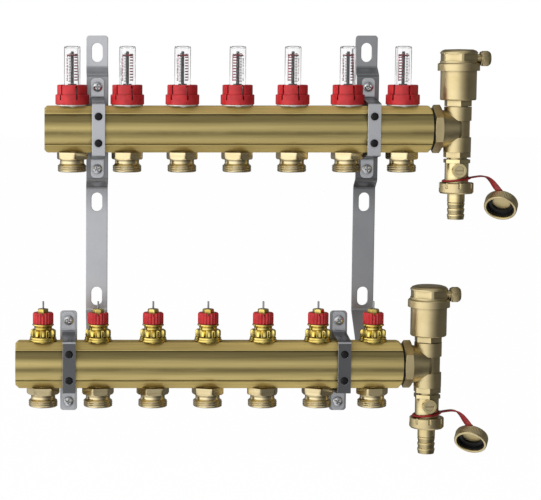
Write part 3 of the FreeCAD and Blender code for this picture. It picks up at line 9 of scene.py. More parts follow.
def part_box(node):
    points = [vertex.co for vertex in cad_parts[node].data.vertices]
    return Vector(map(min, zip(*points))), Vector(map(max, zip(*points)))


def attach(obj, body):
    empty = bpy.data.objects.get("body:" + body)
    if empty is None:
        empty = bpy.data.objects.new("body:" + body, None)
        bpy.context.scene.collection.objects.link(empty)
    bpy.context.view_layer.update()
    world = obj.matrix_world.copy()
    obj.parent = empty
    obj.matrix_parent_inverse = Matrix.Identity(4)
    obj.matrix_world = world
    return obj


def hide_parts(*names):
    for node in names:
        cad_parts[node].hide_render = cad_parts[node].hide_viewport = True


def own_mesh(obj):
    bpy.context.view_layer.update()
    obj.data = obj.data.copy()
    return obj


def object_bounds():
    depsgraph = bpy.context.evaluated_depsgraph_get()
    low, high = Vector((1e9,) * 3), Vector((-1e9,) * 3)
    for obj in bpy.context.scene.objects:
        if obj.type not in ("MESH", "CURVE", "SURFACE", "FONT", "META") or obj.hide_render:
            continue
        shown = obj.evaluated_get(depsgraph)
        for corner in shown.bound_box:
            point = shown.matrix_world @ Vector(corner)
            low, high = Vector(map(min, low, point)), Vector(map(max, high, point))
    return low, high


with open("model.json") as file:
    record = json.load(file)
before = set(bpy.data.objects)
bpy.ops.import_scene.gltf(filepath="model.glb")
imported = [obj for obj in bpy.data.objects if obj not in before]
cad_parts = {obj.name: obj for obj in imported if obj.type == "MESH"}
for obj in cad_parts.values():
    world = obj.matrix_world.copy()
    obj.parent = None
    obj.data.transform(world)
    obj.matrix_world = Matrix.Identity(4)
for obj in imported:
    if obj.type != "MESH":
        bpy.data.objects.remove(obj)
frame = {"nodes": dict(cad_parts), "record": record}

# Underfloor heating manifold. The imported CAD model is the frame: positions come from its nodes.
CAD_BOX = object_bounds()
MM = 0.001
NODES = frame["nodes"]


def middle(node):
    low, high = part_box(node)
    return (low + high) / 2


# ---------------------------------------------------------------- shader nodes


class Shader:
    """The node tree of a material or a world, with short calls for the nodes used here."""

    def __init__(self, owner, output="ShaderNodeOutputMaterial", coordinates="Object"):
        self.owner = owner
        owner.use_nodes = True
        self.tree = owner.node_tree
        self.tree.nodes.clear()
        self.output = self.tree.nodes.new(output)
        self.place = self.node("ShaderNodeTexCoord").outputs[coordinates]

    def node(self, kind, **inputs):
        """A new node; a key is a socket's name with underscores, or i and the socket's number."""
        made = self.tree.nodes.new(kind)
        for key, value in inputs.items():
            numbered = key[0] == "i" and key[1:].isdigit()
            socket = made.inputs[int(key[1:]) if numbered else key.replace("_", " ")]
            if isinstance(value, bpy.types.NodeSocket):
                self.tree.links.new(value, socket)
            else:
                socket.default_value = value
        return made

    def math(self, operation, a, b=0.0):
        made = self.node("ShaderNodeMath", i0=a, i1=b)
        made.operation = operation
        return made.outputs[0]

    def vector(self, operation, a, b=(0, 0, 0)):
        made = self.node("ShaderNodeVectorMath", i0=a, i1=b)
        made.operation = operation
        return made

    def stretched(self, across, back, up):
        """The object's own coordinates, scaled apart, so that a pattern can run as streaks."""
        made = self.node("ShaderNodeMapping", Vector=self.place)
        made.inputs["Scale"].default_value = (across, back, up)
        return made.outputs[0]

    def noise(self, scale, detail=3.0, place=None, roughness=0.55):
        place = place or self.place
        made = self.node(
            "ShaderNodeTexNoise", Vector=place, Scale=scale, Detail=detail, Roughness=roughness
        )
        return made.outputs["Fac"]

    def remap(self, value, low, high, to_low, to_high):
        made = self.node(
            "ShaderNodeMapRange", Value=value, From_Min=low, From_Max=high, To_Min=to_low, To_Max=to_high
        )
        return made.outputs[0]

    def ramp(self, value, stops):
        made = self.node("ShaderNodeValToRGB", Fac=value)
        while len(made.color_ramp.elements) < len(stops):
            made.color_ramp.elements.new(0.5)
        for element, (position, color) in zip(made.color_ramp.elements, stops):
            element.position = position
            element.color = (*color, 1.0)
        return made.outputs["Color"]

    def spread(self, value, stops):
        """A smooth grey ramp over a value from -1 to 1; each stop is (value, brightness)."""
        reach = self.remap(value, -1.0, 1.0, 0.0, 1.0)
        shades = self.ramp(reach, [((place + 1) / 2, (bright,) * 3) for place, bright in stops])
        shades.node.color_ramp.interpolation = "B_SPLINE"
        return shades

    def mix(self, fraction, a, b, blend="MIX"):
        made = self.tree.nodes.new("ShaderNodeMix")
        made.data_type = "RGBA"
        made.blend_type = blend
        for index, value in ((0, fraction), (6, a), (7, b)):
            if isinstance(value, bpy.types.NodeSocket):
                self.tree.links.new(value, made.inputs[index])
            else:
                made.inputs[index].default_value = value if index == 0 else (*value, 1.0)
        return made.outputs[2]

    def rounded(self, radius):
        """A normal that rounds every edge of the mesh by this radius."""
        made = self.node("ShaderNodeBevel", Radius=radius)
        made.samples = 4
        return made.outputs[0]

    def hollows(self, distance, open_value, closed_value, low, high):
        """A value that goes from low in the open to high in corners and hollows."""
        made = self.node("ShaderNodeAmbientOcclusion", Distance=distance)
        made.samples = 4
        return self.remap(made.outputs["AO"], closed_value, open_value, high, low)

    def edge_mask(self, radius):
        """1 along edges, 0 on open faces."""
        plain = self.node("ShaderNodeNewGeometry").outputs["Normal"]
        turned = self.vector("DOT_PRODUCT", self.rounded(radius), plain)
        return self.remap(turned.outputs["Value"], 0.995, 0.86, 0.0, 1.0)

    def bump(self, height, strength, distance, normal=None):
        made = self.node("ShaderNodeBump", Strength=strength, Distance=distance, Height=height)
        if normal is not None:
            self.tree.links.new(normal, made.inputs["Normal"])
        return made.outputs[0]

    def finish(self, **inputs):
        surface = self.node("ShaderNodeBsdfPrincipled", **inputs)
        return self.show(surface.outputs[0])

    def show(self, surface):
        self.tree.links.new(surface, self.output.inputs["Surface"])
        return self.owner


BAR_AXES = [middle(f"{bar}_manifold_bar").z for bar in ("supply", "return")]
RAIL_START, RAIL_END = 14.2 * MM, 14.8 * MM  # from a bar's axis, where its flat rails begin


def tone(s, color, value, stops, where=1.0):
    """The colour made darker or lighter over a value in metres; stops are (millimetres, tone)."""
    low, high = stops[0][0], stops[-1][0]
    reach = s.remap(value, low * MM, high * MM, 0.0, 1.0)
    shades = s.ramp(reach, [((place - low) / (high - low), (t, t, t)) for place, t in stops])
    return s.mix(where, color, shades, "MULTIPLY")


def metal(name, dark, light, rough, streaks=(1, 1, 1), scale=60, bump=0.1, bump_scale=900, edge=0.25,
          rubbed_and_highlit_edge=None, wear=0.4, aniso=0.0, dirt_and_shade=0.5, tones=(), along=None, rim=None, matt_rails=False):
    """A metal with clouded colour, uneven polish, a fine grain, edges rubbed lighter that also paint an
    edge highlight, and painted shade with some dirt in hollows.

    Tones, mostly painted light and shade, run over the height from the nearer bar's axis, on both bars, on
    one, or in patches.
    Along is a painted shade over X. A rim paints shade on the edges that face right, and matt rails are
    less polished than the belly of the bar between them.
    """
    s = Shader(bpy.data.materials.new(name))
    place = s.stretched(*streaks)
    cloud = s.noise(scale, 5.0, place)
    fine = s.noise(bump_scale, 3.0, place)
    blend = s.math("ADD", s.math("MULTIPLY", cloud, 0.75), s.math("MULTIPLY", fine, 0.25))
    color = s.ramp(blend, ((0.3, dark), (0.7, light)))
    split = s.node("ShaderNodeSeparateXYZ", Vector=s.place)
    upper = s.math("GREATER_THAN", split.outputs["Z"], sum(BAR_AXES) / 2)
    height = s.math("SUBTRACT", split.outputs["Z"], s.remap(upper, 0.0, 1.0, BAR_AXES[1], BAR_AXES[0]))
    masks = {
        "both": lambda: 1.0,
        "supply": lambda: upper,
        "return": lambda: s.math("SUBTRACT", 1.0, upper),
        "patches": lambda: s.remap(s.noise(30, 4.0, s.stretched(1, 1, 2.2)), 0.4, 0.56, 0.45, 1.0),
    }
    # Tones over the height: mostly painted light and shade.
    for where, stops in tones:
        color = tone(s, color, height, stops, masks[where]())
    # Painted shade that darkens the colour along X.
    if along:
        color = tone(s, color, split.outputs["X"], along)
    # Painted shade on the edges that face right.
    if rim:
        edge_x = s.node("ShaderNodeSeparateXYZ", Vector=s.rounded(rim * MM)).outputs["X"]
        color = s.mix(s.remap(edge_x, 0.12, 0.6, 0.0, 0.85), color, tuple(c * 0.15 for c in dark))
    # Painted shade with some dirt: the colour darkens in hollows and corners, where ambient occlusion finds
    # the surface closed in.
    hollow_dirt_and_shade = s.math("MULTIPLY", s.hollows(3.0 * MM, 0.9, 0.35, 0.0, 1.0), dirt_and_shade)
    color = s.mix(hollow_dirt_and_shade, color, tuple(c * 0.22 for c in dark))
    # Edges rubbed lighter; the lighter edges also paint an edge highlight.
    color = s.mix(s.math("MULTIPLY", s.edge_mask(edge * 1.6 * MM), wear), color, rubbed_and_highlit_edge or light)
    uneven = s.math("ADD", cloud, s.math("MULTIPLY", fine, 0.6))
    roughness = s.remap(uneven, 0.4, 1.2, rough * 0.75, rough * 1.3)
    if matt_rails:
        rails = s.remap(s.math("ABSOLUTE", height), RAIL_START, RAIL_END, 0.0, 0.28)
        roughness = s.math("ADD", roughness, rails)
    normal = s.bump(fine, bump, 0.05 * MM, s.rounded(edge * MM))
    return s.finish(Base_Color=color, Metallic=1.0, Roughness=roughness, Normal=normal, Anisotropic=aniso)


def plastic(name, dark, light, rough, scale=150, bump=0.06, edge=0.25, gloss=0.5, soft=0.0):
    """A moulded plastic or rubber: slightly uneven colour, a fine eggshell grain, dusty edges."""
    s = Shader(bpy.data.materials.new(name))
    cloud = s.noise(scale, 4.0)
    grain = s.noise(2600, 2.0)
    wear = s.edge_mask(edge * 1.4 * MM)
    color = s.ramp(cloud, ((0.35, dark), (0.65, light)))
    pale = tuple(min(1.0, c * 1.2 + 0.01) for c in light)
    color = s.mix(s.math("MULTIPLY", wear, 0.3), color, pale)
    # Painted shade with some dirt: the colour darkens in hollows and corners.
    hollow_dirt_and_shade = s.hollows(2.0 * MM, 0.85, 0.3, 0.0, 0.7)
    color = s.mix(hollow_dirt_and_shade, color, tuple(c * 0.15 for c in dark))
    roughness = s.remap(cloud, 0.3, 0.7, rough * 0.85, rough * 1.15)
    normal = s.bump(grain, bump, 0.04 * MM, s.rounded(edge * MM))
    return s.finish(
        Base_Color=color, Roughness=roughness, Normal=normal, Specular_IOR_Level=gloss,
        Subsurface_Weight=soft, Subsurface_Scale=0.6 * MM,
    )


def clear(name):
    """A clear moulded plastic with a faint waviness."""
    s = Shader(bpy.data.materials.new(name))
    cloud = s.noise(200, 3.0)
    roughness = s.remap(cloud, 0.3, 0.7, 0.0, 0.03)
    color = s.ramp(s.noise(60, 2.0), ((0.3, (0.97, 0.97, 0.975)), (0.7, (1.0, 1.0, 1.0))))
    return s.finish(Base_Color=color, Roughness=roughness, Transmission_Weight=1.0, IOR=1.3,
                    Normal=s.bump(cloud, 0.03, 0.05 * MM))


# Tones by height in millimetres from the bar's axis, mostly painted light and shade: (height, share of the
# colour that stays).
# Painted shade under each bar's upper ledge, and painted highlights on both rails.
RAIL_LIGHT_AND_SHADE = (
    (-14.6, 1.25), (-14.2, 0.9), (-13.4, 1.0), (-9, 1.12), (-5, 1.05), (3, 1.05), (6, 1.0), (9.5, 0.74),
    (12, 0.52), (13.8, 0.44), (14.4, 1.45),
)
# A patchy darker stripe just below each bar's axis.
PATCHY_DARK_STRIPE = ((-5.4, 1.0), (-3.8, 0.74), (-2.2, 0.66), (-1.0, 0.84), (0.6, 1.0))
# Painted shade at the supply clamp bands' bends and edges.
SUPPLY_BAND_SHADE = (
    (-28.6, 1.0), (-28.0, 0.4), (-26.5, 0.65), (-24.4, 0.35), (-23.6, 1.0), (23.2, 1.0), (24.2, 0.5),
    (25.4, 0.85), (26.6, 0.25), (28.2, 0.25), (28.9, 1.0),
)
# Painted highlights at the return clamp bands' bends with painted shade beside them, and a darker front.
RETURN_BAND_LIGHT_AND_SHADE = (
    (-28.6, 1.0), (-27.6, 0.5), (-26.4, 1.3), (-24.8, 1.3), (-23.8, 0.4), (-23.0, 0.26), (21.5, 0.26),
    (22.4, 1.2), (23.6, 0.3), (25.0, 0.7), (26.6, 0.2), (27.6, 0.2), (28.2, 1.3), (28.9, 1.0),
)
# Painted shade on the wall brackets above and below the supply bar.
WALL_SHADE = (
    (-80, 1.0), (-62, 0.7), (-45, 0.42), (-20, 0.42), (20, 0.5), (44, 0.55), (50, 0.72), (53, 0.9),
    (56, 1.0),
)
FINISHES = {
    "bar_brass": metal("bar_brass", (0.50, 0.395, 0.155), (0.68, 0.555, 0.235), 0.36, streaks=(0.5, 22, 22),
                       scale=18, bump=0.12, bump_scale=60, aniso=0.3, edge=0.3, dirt_and_shade=0.4, matt_rails=True,
                       tones=(("both", RAIL_LIGHT_AND_SHADE), ("patches", PATCHY_DARK_STRIPE))),
    "nipple_brass": metal("nipple_brass", (0.64, 0.51, 0.27), (0.86, 0.74, 0.46), 0.22, streaks=(1, 1, 9),
                          scale=30, bump=0.12, bump_scale=250, dirt_and_shade=0.4, rubbed_and_highlit_edge=(0.98, 0.88, 0.62),
                          wear=0.5),
    "polished_brass": metal("polished_brass", (0.62, 0.43, 0.07), (0.97, 0.82, 0.28), 0.08, scale=60,
                            bump=0.05, edge=0.2, dirt_and_shade=1.0, rubbed_and_highlit_edge=(1.0, 0.92, 0.5), wear=0.5),
    "cast_brass": metal("cast_brass", (0.56, 0.45, 0.23), (0.80, 0.67, 0.385), 0.34, scale=50, bump=0.2,
                        bump_scale=1500, edge=0.35, dirt_and_shade=0.6, rubbed_and_highlit_edge=(0.92, 0.82, 0.58)),
    "zinc_steel": metal("zinc_steel", (0.60, 0.61, 0.62), (0.76, 0.77, 0.79), 0.26, scale=45, bump=0.12,
                        bump_scale=700, edge=0.3, rubbed_and_highlit_edge=(0.9, 0.9, 0.92), dirt_and_shade=1.0),
    "spring_steel": metal("spring_steel", (0.30, 0.30, 0.31), (0.52, 0.52, 0.53), 0.25, scale=120,
                          edge=0.1),
    "dark_rod": plastic("dark_rod", (0.05, 0.05, 0.055), (0.09, 0.09, 0.095), 0.4, edge=0.12),
    "red_plastic": plastic("red_plastic", (0.40, 0.010, 0.014), (0.54, 0.02, 0.024), 0.42, soft=0.04),
    "white_plastic": plastic("white_plastic", (0.62, 0.60, 0.54), (0.76, 0.75, 0.70), 0.4, soft=0.1),
    "clear_plastic": clear("clear_plastic"),
    "black_rubber": plastic("black_rubber", (0.004, 0.004, 0.005), (0.009, 0.009, 0.010), 0.3, gloss=0.22),
    "red_rubber": plastic("red_rubber", (0.22, 0.005, 0.006), (0.31, 0.010, 0.011), 0.36,
                          bump=0.02, soft=0.04),
}
# The printed marks; pieces of one slot that are brighter than the rest; and pieces that carry painted light
# and shade.
INK = {
    "red": plastic("scale_red", (0.42, 0.01, 0.06), (0.55, 0.02, 0.09), 0.5, edge=0.05),
    "grey": plastic("scale_grey", (0.06, 0.06, 0.065), (0.12, 0.12, 0.13), 0.5, edge=0.05),
}
BRIGHT_BRASS = metal("drain_brass", (0.63, 0.50, 0.235), (0.92, 0.79, 0.46), 0.2, scale=50, bump=0.07,
                     bump_scale=1300, edge=0.35, dirt_and_shade=0.7, rubbed_and_highlit_edge=(0.98, 0.9, 0.62), wear=0.5)
SPECIAL = {
    "clamp_bands": metal(
        "band_steel", (0.56, 0.57, 0.60), (0.66, 0.67, 0.70), 0.3, scale=30, bump=0.04, bump_scale=500,
        edge=0.45, rubbed_and_highlit_edge=(0.95, 0.95, 0.97), wear=0.6, dirt_and_shade=0.8,
        tones=(("supply", SUPPLY_BAND_SHADE), ("return", RETURN_BAND_LIGHT_AND_SHADE)),
    ),
    "wall_brackets": metal(
        "bracket_steel", (0.60, 0.61, 0.64), (0.72, 0.73, 0.76), 0.33, scale=30, bump=0.04, bump_scale=500,
        edge=0.5, rubbed_and_highlit_edge=(0.8, 0.8, 0.82), wear=0.1, dirt_and_shade=0.6, rim=1.6, tones=(("supply", WALL_SHADE),),
        # Painted shade: the brackets darken towards the right.
        along=((100, 1.0), (200, 0.6)),
    ),
    "drain_bodies": BRIGHT_BRASS,
    "hose_tails": BRIGHT_BRASS,
}

for part in frame["record"]["subparts"]:
    piece = NODES[part["node"]]
    piece.data.materials.clear()
    piece.data.materials.append(FINISHES[part["material_slot"]])
for node, finish in SPECIAL.items():
    NODES[node].data.materials[0] = finish


# ---------------------------------------------------------------- mesh building, in millimetres


def at(value, angle):
    """A number, or what a function of the angle gives there."""
    return value(angle) if callable(value) else value


class Piece:
    """A mesh drawn in millimetres about a local frame that can be moved between its shells."""

    def __init__(self):
        self.mesh = bmesh.new()
        self.frame = Matrix()

    def move(self, place, turn=None):
        """place is in metres, in the row frame; turn is a rotation matrix."""
        self.frame = Matrix.Translation(place) @ (turn or Matrix()).to_4x4() @ Matrix.Scale(MM, 4)
        return self

    def point(self, x, y, z):
        return self.mesh.verts.new(self.frame @ Vector((x, y, z)))

    def bridge(self, first, second, around=True):
        """Faces between two rings or rows of points; a ring of one point is a tip."""
        count = max(len(first), len(second))
        for index in range(count if around else count - 1):
            after = (index + 1) % count
            corners = [first[index % len(first)], first[after % len(first)]]
            corners += [second[after % len(second)], second[index % len(second)]]
            corners = list(dict.fromkeys(corners))
            if len(corners) > 2:
                self.mesh.faces.new(corners)

    def turned(self, outline, around=64):
        """A closed outline of (radius, height) about Z. Either may be a function of the angle."""
        rings = []
        for radius, height in outline:
            if radius == 0:
                rings.append([self.point(0, 0, height)])
                continue
            angles = [math.tau * step / around for step in range(around)]
            rings.append(
                [
                    self.point(at(radius, a) * math.cos(a), at(radius, a) * math.sin(a), at(height, a))
                    for a in angles
                ]
            )
        for first, second in zip(rings, rings[1:] + rings[:1]):
            self.bridge(first, second)

    def swept(self, path, sides, outline, loop=False):
        """An outline of (across, up) carried along a path, with a side direction at each point."""
        rows = []
        for index, (here, side) in enumerate(zip(path, sides)):
            before = path[index - 1] if index or loop else here
            after = path[(index + 1) % len(path)] if index + 1 < len(path) or loop else here
            forward = (after - before).normalized()
            up = side.cross(forward).normalized()
            across = forward.cross(up).normalized()
            rows.append([self.point(*(here + across * a + up * b)) for a, b in outline])
        for first, second in zip(rows, rows[1:]):
            self.bridge(first, second)
        if loop:
            self.bridge(rows[-1], rows[0])
        else:
            self.mesh.faces.new(rows[0])
            self.mesh.faces.new(rows[-1])

    def patch(self, radius, start, end, low, high, thick=0.06):
        """A small raised mark on a cylinder, between two angles in degrees from the front."""
        steps = max(1, round(abs(end - start) / 8))
        rows = []
        for distance in (radius, radius + thick):
            for height in (low, high) if distance == radius else (high, low):
                row = []
                for step in range(steps + 1):
                    angle = math.radians(start + (end - start) * step / steps)
                    row.append(self.point(distance * math.sin(angle), -distance * math.cos(angle), height))
                rows.append(row)
        for first, second in zip(rows, rows[1:] + rows[:1]):
            self.bridge(first, second, around=False)
        for index in (0, -1):
            self.mesh.faces.new([row[index] for row in rows])

    def object(self, name, slot, body, *nodes, finish=None, sharp=32):
        """The finished piece: it rides on a body, takes its slot's finish unless given one, and hides the
        CAD nodes it stands for.
        """
        bmesh.ops.recalc_face_normals(self.mesh, faces=self.mesh.faces)
        for face in self.mesh.faces:
            face.smooth = True
        for edge in self.mesh.edges:
            edge.smooth = edge.calc_face_angle(math.pi) < math.radians(sharp)
        mesh = bpy.data.meshes.new(name)
        self.mesh.to_mesh(mesh)
        self.mesh.free()
        mesh.materials.append(finish or FINISHES[slot])
        made = bpy.data.objects.new(name, mesh)
        bpy.context.scene.collection.objects.link(made)
        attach(made, body)
        if nodes:
            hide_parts(*nodes)
        return made


def rounded(outline, size, steps=3):
    """The closed outline with every corner eased by this size."""
    eased = []
    for index, corner in enumerate(outline):
        here = Vector(corner)
        ends = []
        for other in (outline[index - 1], outline[(index + 1) % len(outline)]):
            away = Vector(other) - here
            ends.append(here + away * min(size / away.length, 0.45))
        for step in range(steps + 1):
            t = step / steps
            spot = ends[0] * (1 - t) ** 2 + here * 2 * t * (1 - t) + ends[1] * t * t
            eased.append((spot.x, spot.y))
    return eased


def hexagon(corner_radius, start, limit=None):
    """The radius of a hexagon at an angle, with a corner at the start angle, cut at a limit."""
    flat = corner_radius * math.cos(math.pi / 6)

    def radius(angle):
        off = (angle - start) % (math.pi / 3) - math.pi / 6
        found = flat / math.cos(off)
        return min(found, limit) if limit else found

    return radius


FRONT = -math.pi / 2  # the angle about Z that faces the viewer
OUTLETS = range(1, 8)
SUPPLY_BOTTOM, SUPPLY_TOP = (corner.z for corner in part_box("supply_manifold_bar"))
RETURN_BOTTOM, RETURN_TOP = (corner.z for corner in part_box("return_manifold_bar"))
METERS = [middle(f"flow_indicator_{k}") for k in OUTLETS]
INSERTS = [middle(f"valve_pin_{k}") for k in OUTLETS]


def above(spot, height):
    """The point of this height on the vertical line through a spot."""
    return Vector((spot.x, spot.y, height))


# ---------------------------------------------------------------- outlet nipples


HEX_CORNER = 15.0
HEX_DEPTH = 6.5
HEX_CHAMFER = 1.2
THREAD_START, THREAD_END = 11.9, 17.5
THREAD_RADIUS, THREAD_DEPTH = 13.25, 0.6
THREAD_PITCH = 1.81
THREAD_STEP = 0.23


def thread(depth):
    """The radius of a right-handed thread at this depth, which fades out at both ends."""
    fade = max(min(1.0, (depth - THREAD_START) / 0.6, (THREAD_END - depth) / 0.5), 0.0)

    def radius(angle):
        wave = abs(((depth / THREAD_PITCH + angle / math.tau) % 1.0) * 2 - 1)
        return THREAD_RADIUS - THREAD_DEPTH * max(0.0, wave * 1.2 - 0.15) * fade - 0.5 * (1 - fade)

    return radius


def nipple(piece, corner):
    """Hexagon with its lower corners turned off, neck, and a Eurocone ring with a real thread."""
    flat = HEX_CORNER * math.cos(math.pi / 6)
    full = hexagon(HEX_CORNER, corner)
    outline = [(7.5, 0.0), (full, 0.0), (full, HEX_CHAMFER - HEX_DEPTH)]
    for step in range(1, 5):
        down = HEX_CHAMFER * step / 4
        cut = hexagon(HEX_CORNER, corner, flat + 0.8 + HEX_CHAMFER - down)
        outline.append((cut, HEX_CHAMFER - HEX_DEPTH - down))
    outline += [(11.9, -6.6), (11.2, -6.9), (11.0, -7.5), (11.0, -9.9), (11.2, -10.5), (12.1, -11.6)]
    for row in range(25):
        depth = THREAD_START + row * THREAD_STEP
        outline.append((thread(depth), -depth))
    outline += [(12.2, -17.8), (11.4, -18.0), (9.5, -18.0), (9.1, -17.7), (7.9, -10.4), (7.5, -9.8)]
    piece.turned(outline, around=96)


def build_nipples():
    """Each hexagon is turned by its own few degrees, as they were screwed in."""
    supply_turns = (8, 10, 8, 8, 10, 8, 10)
    return_turns = (-30, -20, -26, 12, -14, 4, -24)
    piece = Piece()
    for spot, turn in zip(METERS, supply_turns):
        nipple(piece.move(above(spot, SUPPLY_BOTTOM)), FRONT + math.radians(turn))
    for spot, turn in zip(INSERTS, return_turns):
        nipple(piece.move(above(spot, RETURN_BOTTOM)), FRONT + math.radians(turn))
    piece.object("Outlet_nipples", "nipple_brass", "fixed", "outlet_nipples", sharp=40)


# ---------------------------------------------------------------- flow meters


# Strokes of a numeral: its left and right edge as shares of the width, its bottom and top in
# millimetres. NUMERALS names the strokes of 0 to 7.
SEGMENTS = {
    "top": (0, 1, 1.9, 2.4), "middle": (0, 1, 0.95, 1.45), "bottom": (0, 1, 0, 0.5),
    "upper_left": (0, 0.32, 1.2, 2.4), "lower_left": (0, 0.32, 0, 1.2),
    "upper_right": (0.68, 1, 1.2, 2.4), "lower_right": (0.68, 1, 0, 1.2),
}
NUMERALS = [
    "top bottom upper_left lower_left upper_right lower_right", "upper_right lower_right",
    "top middle bottom upper_right lower_left", "top middle bottom upper_right lower_right",
    "middle upper_left upper_right lower_right", "top middle bottom upper_left lower_right",
    "top middle bottom upper_left lower_left lower_right", "top upper_right lower_right",
]
MARK_RADIUS = 5.28
RUNG_PITCH, RUNG_HEIGHT = 2.55, 1.15
DASH_PITCH, DASH_HEIGHT = 1.4, 0.7
NUMERAL_PITCH, NUMERAL_WIDTH = 3.0, 34
TO_DASHES, TO_NUMERALS = 60, 100  # degrees round the tube from its ladder
# Where each tube's ladder stands, in degrees from the front, and which way round the rest follows.
SCALE_FACES = ((38, -1), (40, -1), (38, -1), (-38, 1), (-36, 1), (34, -1), (-36, 1))


def ladder_marks(red, ladder, side):
    red.patch(MARK_RADIUS, ladder - side * 24, ladder - side * 16, 22.5, 46.5)
    for rung in range(10):
        low = 22.8 + rung * RUNG_PITCH
        red.patch(MARK_RADIUS, ladder - side * 16, ladder + side * 20, low, low + RUNG_HEIGHT)


def dash_marks(grey, middle_angle):
    for dash in range(19):
        low = 21.5 + dash * DASH_PITCH
        reach = 15 if dash % 5 == 0 else 11
        grey.patch(MARK_RADIUS, middle_angle - reach, middle_angle + reach, low, low + DASH_HEIGHT)


def numeral_marks(red, middle_angle):
    start = middle_angle - NUMERAL_WIDTH / 2
    for index, name in enumerate(NUMERALS):
        low = 22.6 + index * NUMERAL_PITCH
        for segment in name.split():
            left, right, bottom, top = SEGMENTS[segment]
            ends = (start + left * NUMERAL_WIDTH, start + right * NUMERAL_WIDTH)
            red.patch(MARK_RADIUS, *ends, low + bottom, low + top)


def sight_tube(piece):
    piece.turned(
        [
            (5.4, 2.05), (7.38, 2.05), (7.38, 16.0), (9.4, 16.0), (9.4, 17.4), (7.4, 17.45),
            (7.4, 52.4), (7.25, 53.1), (6.8, 53.6), (6.0, 53.85), (3.0, 54.1), (0, 54.18),
            (0, 52.3), (3.9, 52.2), (4.9, 51.9), (5.3, 51.4), (5.4, 50.6),
        ],
        around=72,
    )


def indicator_rod(piece):
    """The flow plate, the rod, the collar over its spring, and the rod's top."""
    piece.turned(
        [
            (0, -18), (5.5, -18), (5.7, -17.8), (5.7, -17.2), (5.5, -17), (1.2, -17), (1.2, 19), (3.7, 19),
            (3.9, 19.2), (3.9, 19.8), (3.7, 20), (1.5, 20), (1.45, 48.6), (1.0, 49.1), (0, 49.2),
        ],
        around=32,
    )


def indicator_mark(piece):
    """The red disc that reads against the scale."""
    piece.turned(
        [
            (1.4, 45.1), (3.2, 45.1), (4.75, 44.8), (4.9, 45.0), (4.9, 46.1), (4.7, 46.3),
            (3.2, 45.95), (1.4, 45.9),
        ],
        around=48,
    )


def build_flow_meters():
    """Tubes with a red ladder, grey dashes and red numerals printed inside, and their indicators."""
    tubes, red, grey = Piece(), Piece(), Piece()
    for spot, (ladder, side) in zip(METERS, SCALE_FACES):
        for piece in (tubes, red, grey):
            piece.move(above(spot, SUPPLY_TOP))
        sight_tube(tubes)
        ladder_marks(red, ladder, side)
        dash_marks(grey, ladder + side * TO_DASHES)
        numeral_marks(red, ladder + side * TO_NUMERALS)
    tubes.object("Sight_tubes", "clear_plastic", "fixed", "sight_tubes", sharp=50)
    red.object("Scale_red", "red_plastic", "fixed", finish=INK["red"])
    grey.object("Scale_grey", "dark_rod", "fixed", finish=INK["grey"])
    for k, spot in zip(OUTLETS, METERS):
        body = f"flow_indicator_{k}"
        rod, mark = Piece(), Piece()
        indicator_rod(rod.move(above(spot, SUPPLY_TOP)))
        rod.object(f"Indicator_rod_{k}", "dark_rod", body, body)
        indicator_mark(mark.move(above(spot, SUPPLY_TOP)))
        mark.object(f"Indicator_mark_{k}", "red_plastic", body)


# ---------------------------------------------------------------- valve inserts


INSERT_NOTCHES = 12
NOTCH_HALF_WIDTH = 1.75
RING_RIDGES = 20
RING_RADIUS_AT_LIP = 9.0
RING_NOTCH_DEPTH, RING_NOTCH_SLOPE = 2.4, 1.9


def notched(radius, floor, count, width, start):
    """A circle of this radius with round notches down to a floor radius."""

    def found(angle):
        pitch = math.tau / count
        off = ((angle - start + pitch / 2) % pitch - pitch / 2) * radius
        if abs(off) >= width:
            return radius
        return radius - (radius - floor) * math.sqrt(1 - (off / width) ** 2)

    return found


def insert_body(piece):
    """Thread, flange, notched grip, neck and the sleeve inside the preset ring."""
    low, high = 9.3, 11.6
    start = FRONT + math.radians(15)
    ring = notched(high, low, INSERT_NOTCHES, NOTCH_HALF_WIDTH, start)
    top = notched(high - 0.75, low, INSERT_NOTCHES, NOTCH_HALF_WIDTH, start)
    piece.turned(
        [
            (7.2, -33.3), (8.2, -33.3), (8.2, -9.5), (8.9, -9.0), (8.9, 0.0), (11.9, 0.0), (12.3, 0.2),
            (12.5, 0.7), (12.5, 1.7), (12.2, 2.1), (11.8, 2.3), (11.75, 2.9), (12.0, 3.2), (11.9, 3.9),
            (11.2, 4.3), (low + 0.2, 4.4), (top, 4.5), (ring, 5.2), (ring, 9.6), (top, 10.7),
            (low + 0.1, 10.9), (8.9, 10.95), (8.3, 11.3), (8.1, 11.9), (8.1, 13.2), (8.4, 13.9),
            (9.3, 14.4), (9.8, 14.8), (9.8, 15.5), (9.5, 15.95), (6.0, 16.0), (6.0, 26.3), (4.5, 26.3),
            (4.5, 10.0), (1.6, 9.8), (1.6, 8.2), (7.2, 6.0),
        ],
        around=216,
    )


def gland_nut(piece, corner):
    """A small hexagon with its upper corners turned off, on a round spigot."""
    radius, shoulder, chamfer = 5.35, 28.7, 0.9
    flat = radius * math.cos(math.pi / 6)
    full = hexagon(radius, corner)
    outline = [(0.95, 21.5), (4.45, 21.5), (4.45, 26.35), (full, 26.4), (full, shoulder)]
    for step in range(1, 4):
        up = chamfer * step / 3
        outline.append((hexagon(radius, corner, flat + 0.05 + (chamfer - up) * 0.9), shoulder + up))
    outline += [(3.0, 29.7), (2.2, 29.3), (0.95, 29.2)]
    piece.turned(outline, around=96)


def ridged(radius, depth):
    return lambda angle: radius - depth * (0.5 - 0.5 * math.cos(RING_RIDGES * (angle - FRONT))) ** 0.8


def lip(height):
    """A rim of this height with a small V notch at the front."""

    def found(angle):
        off = abs((angle - FRONT + math.pi) % math.tau - math.pi) * RING_RADIUS_AT_LIP
        return height - max(0.0, RING_NOTCH_DEPTH - off * RING_NOTCH_SLOPE)

    return found


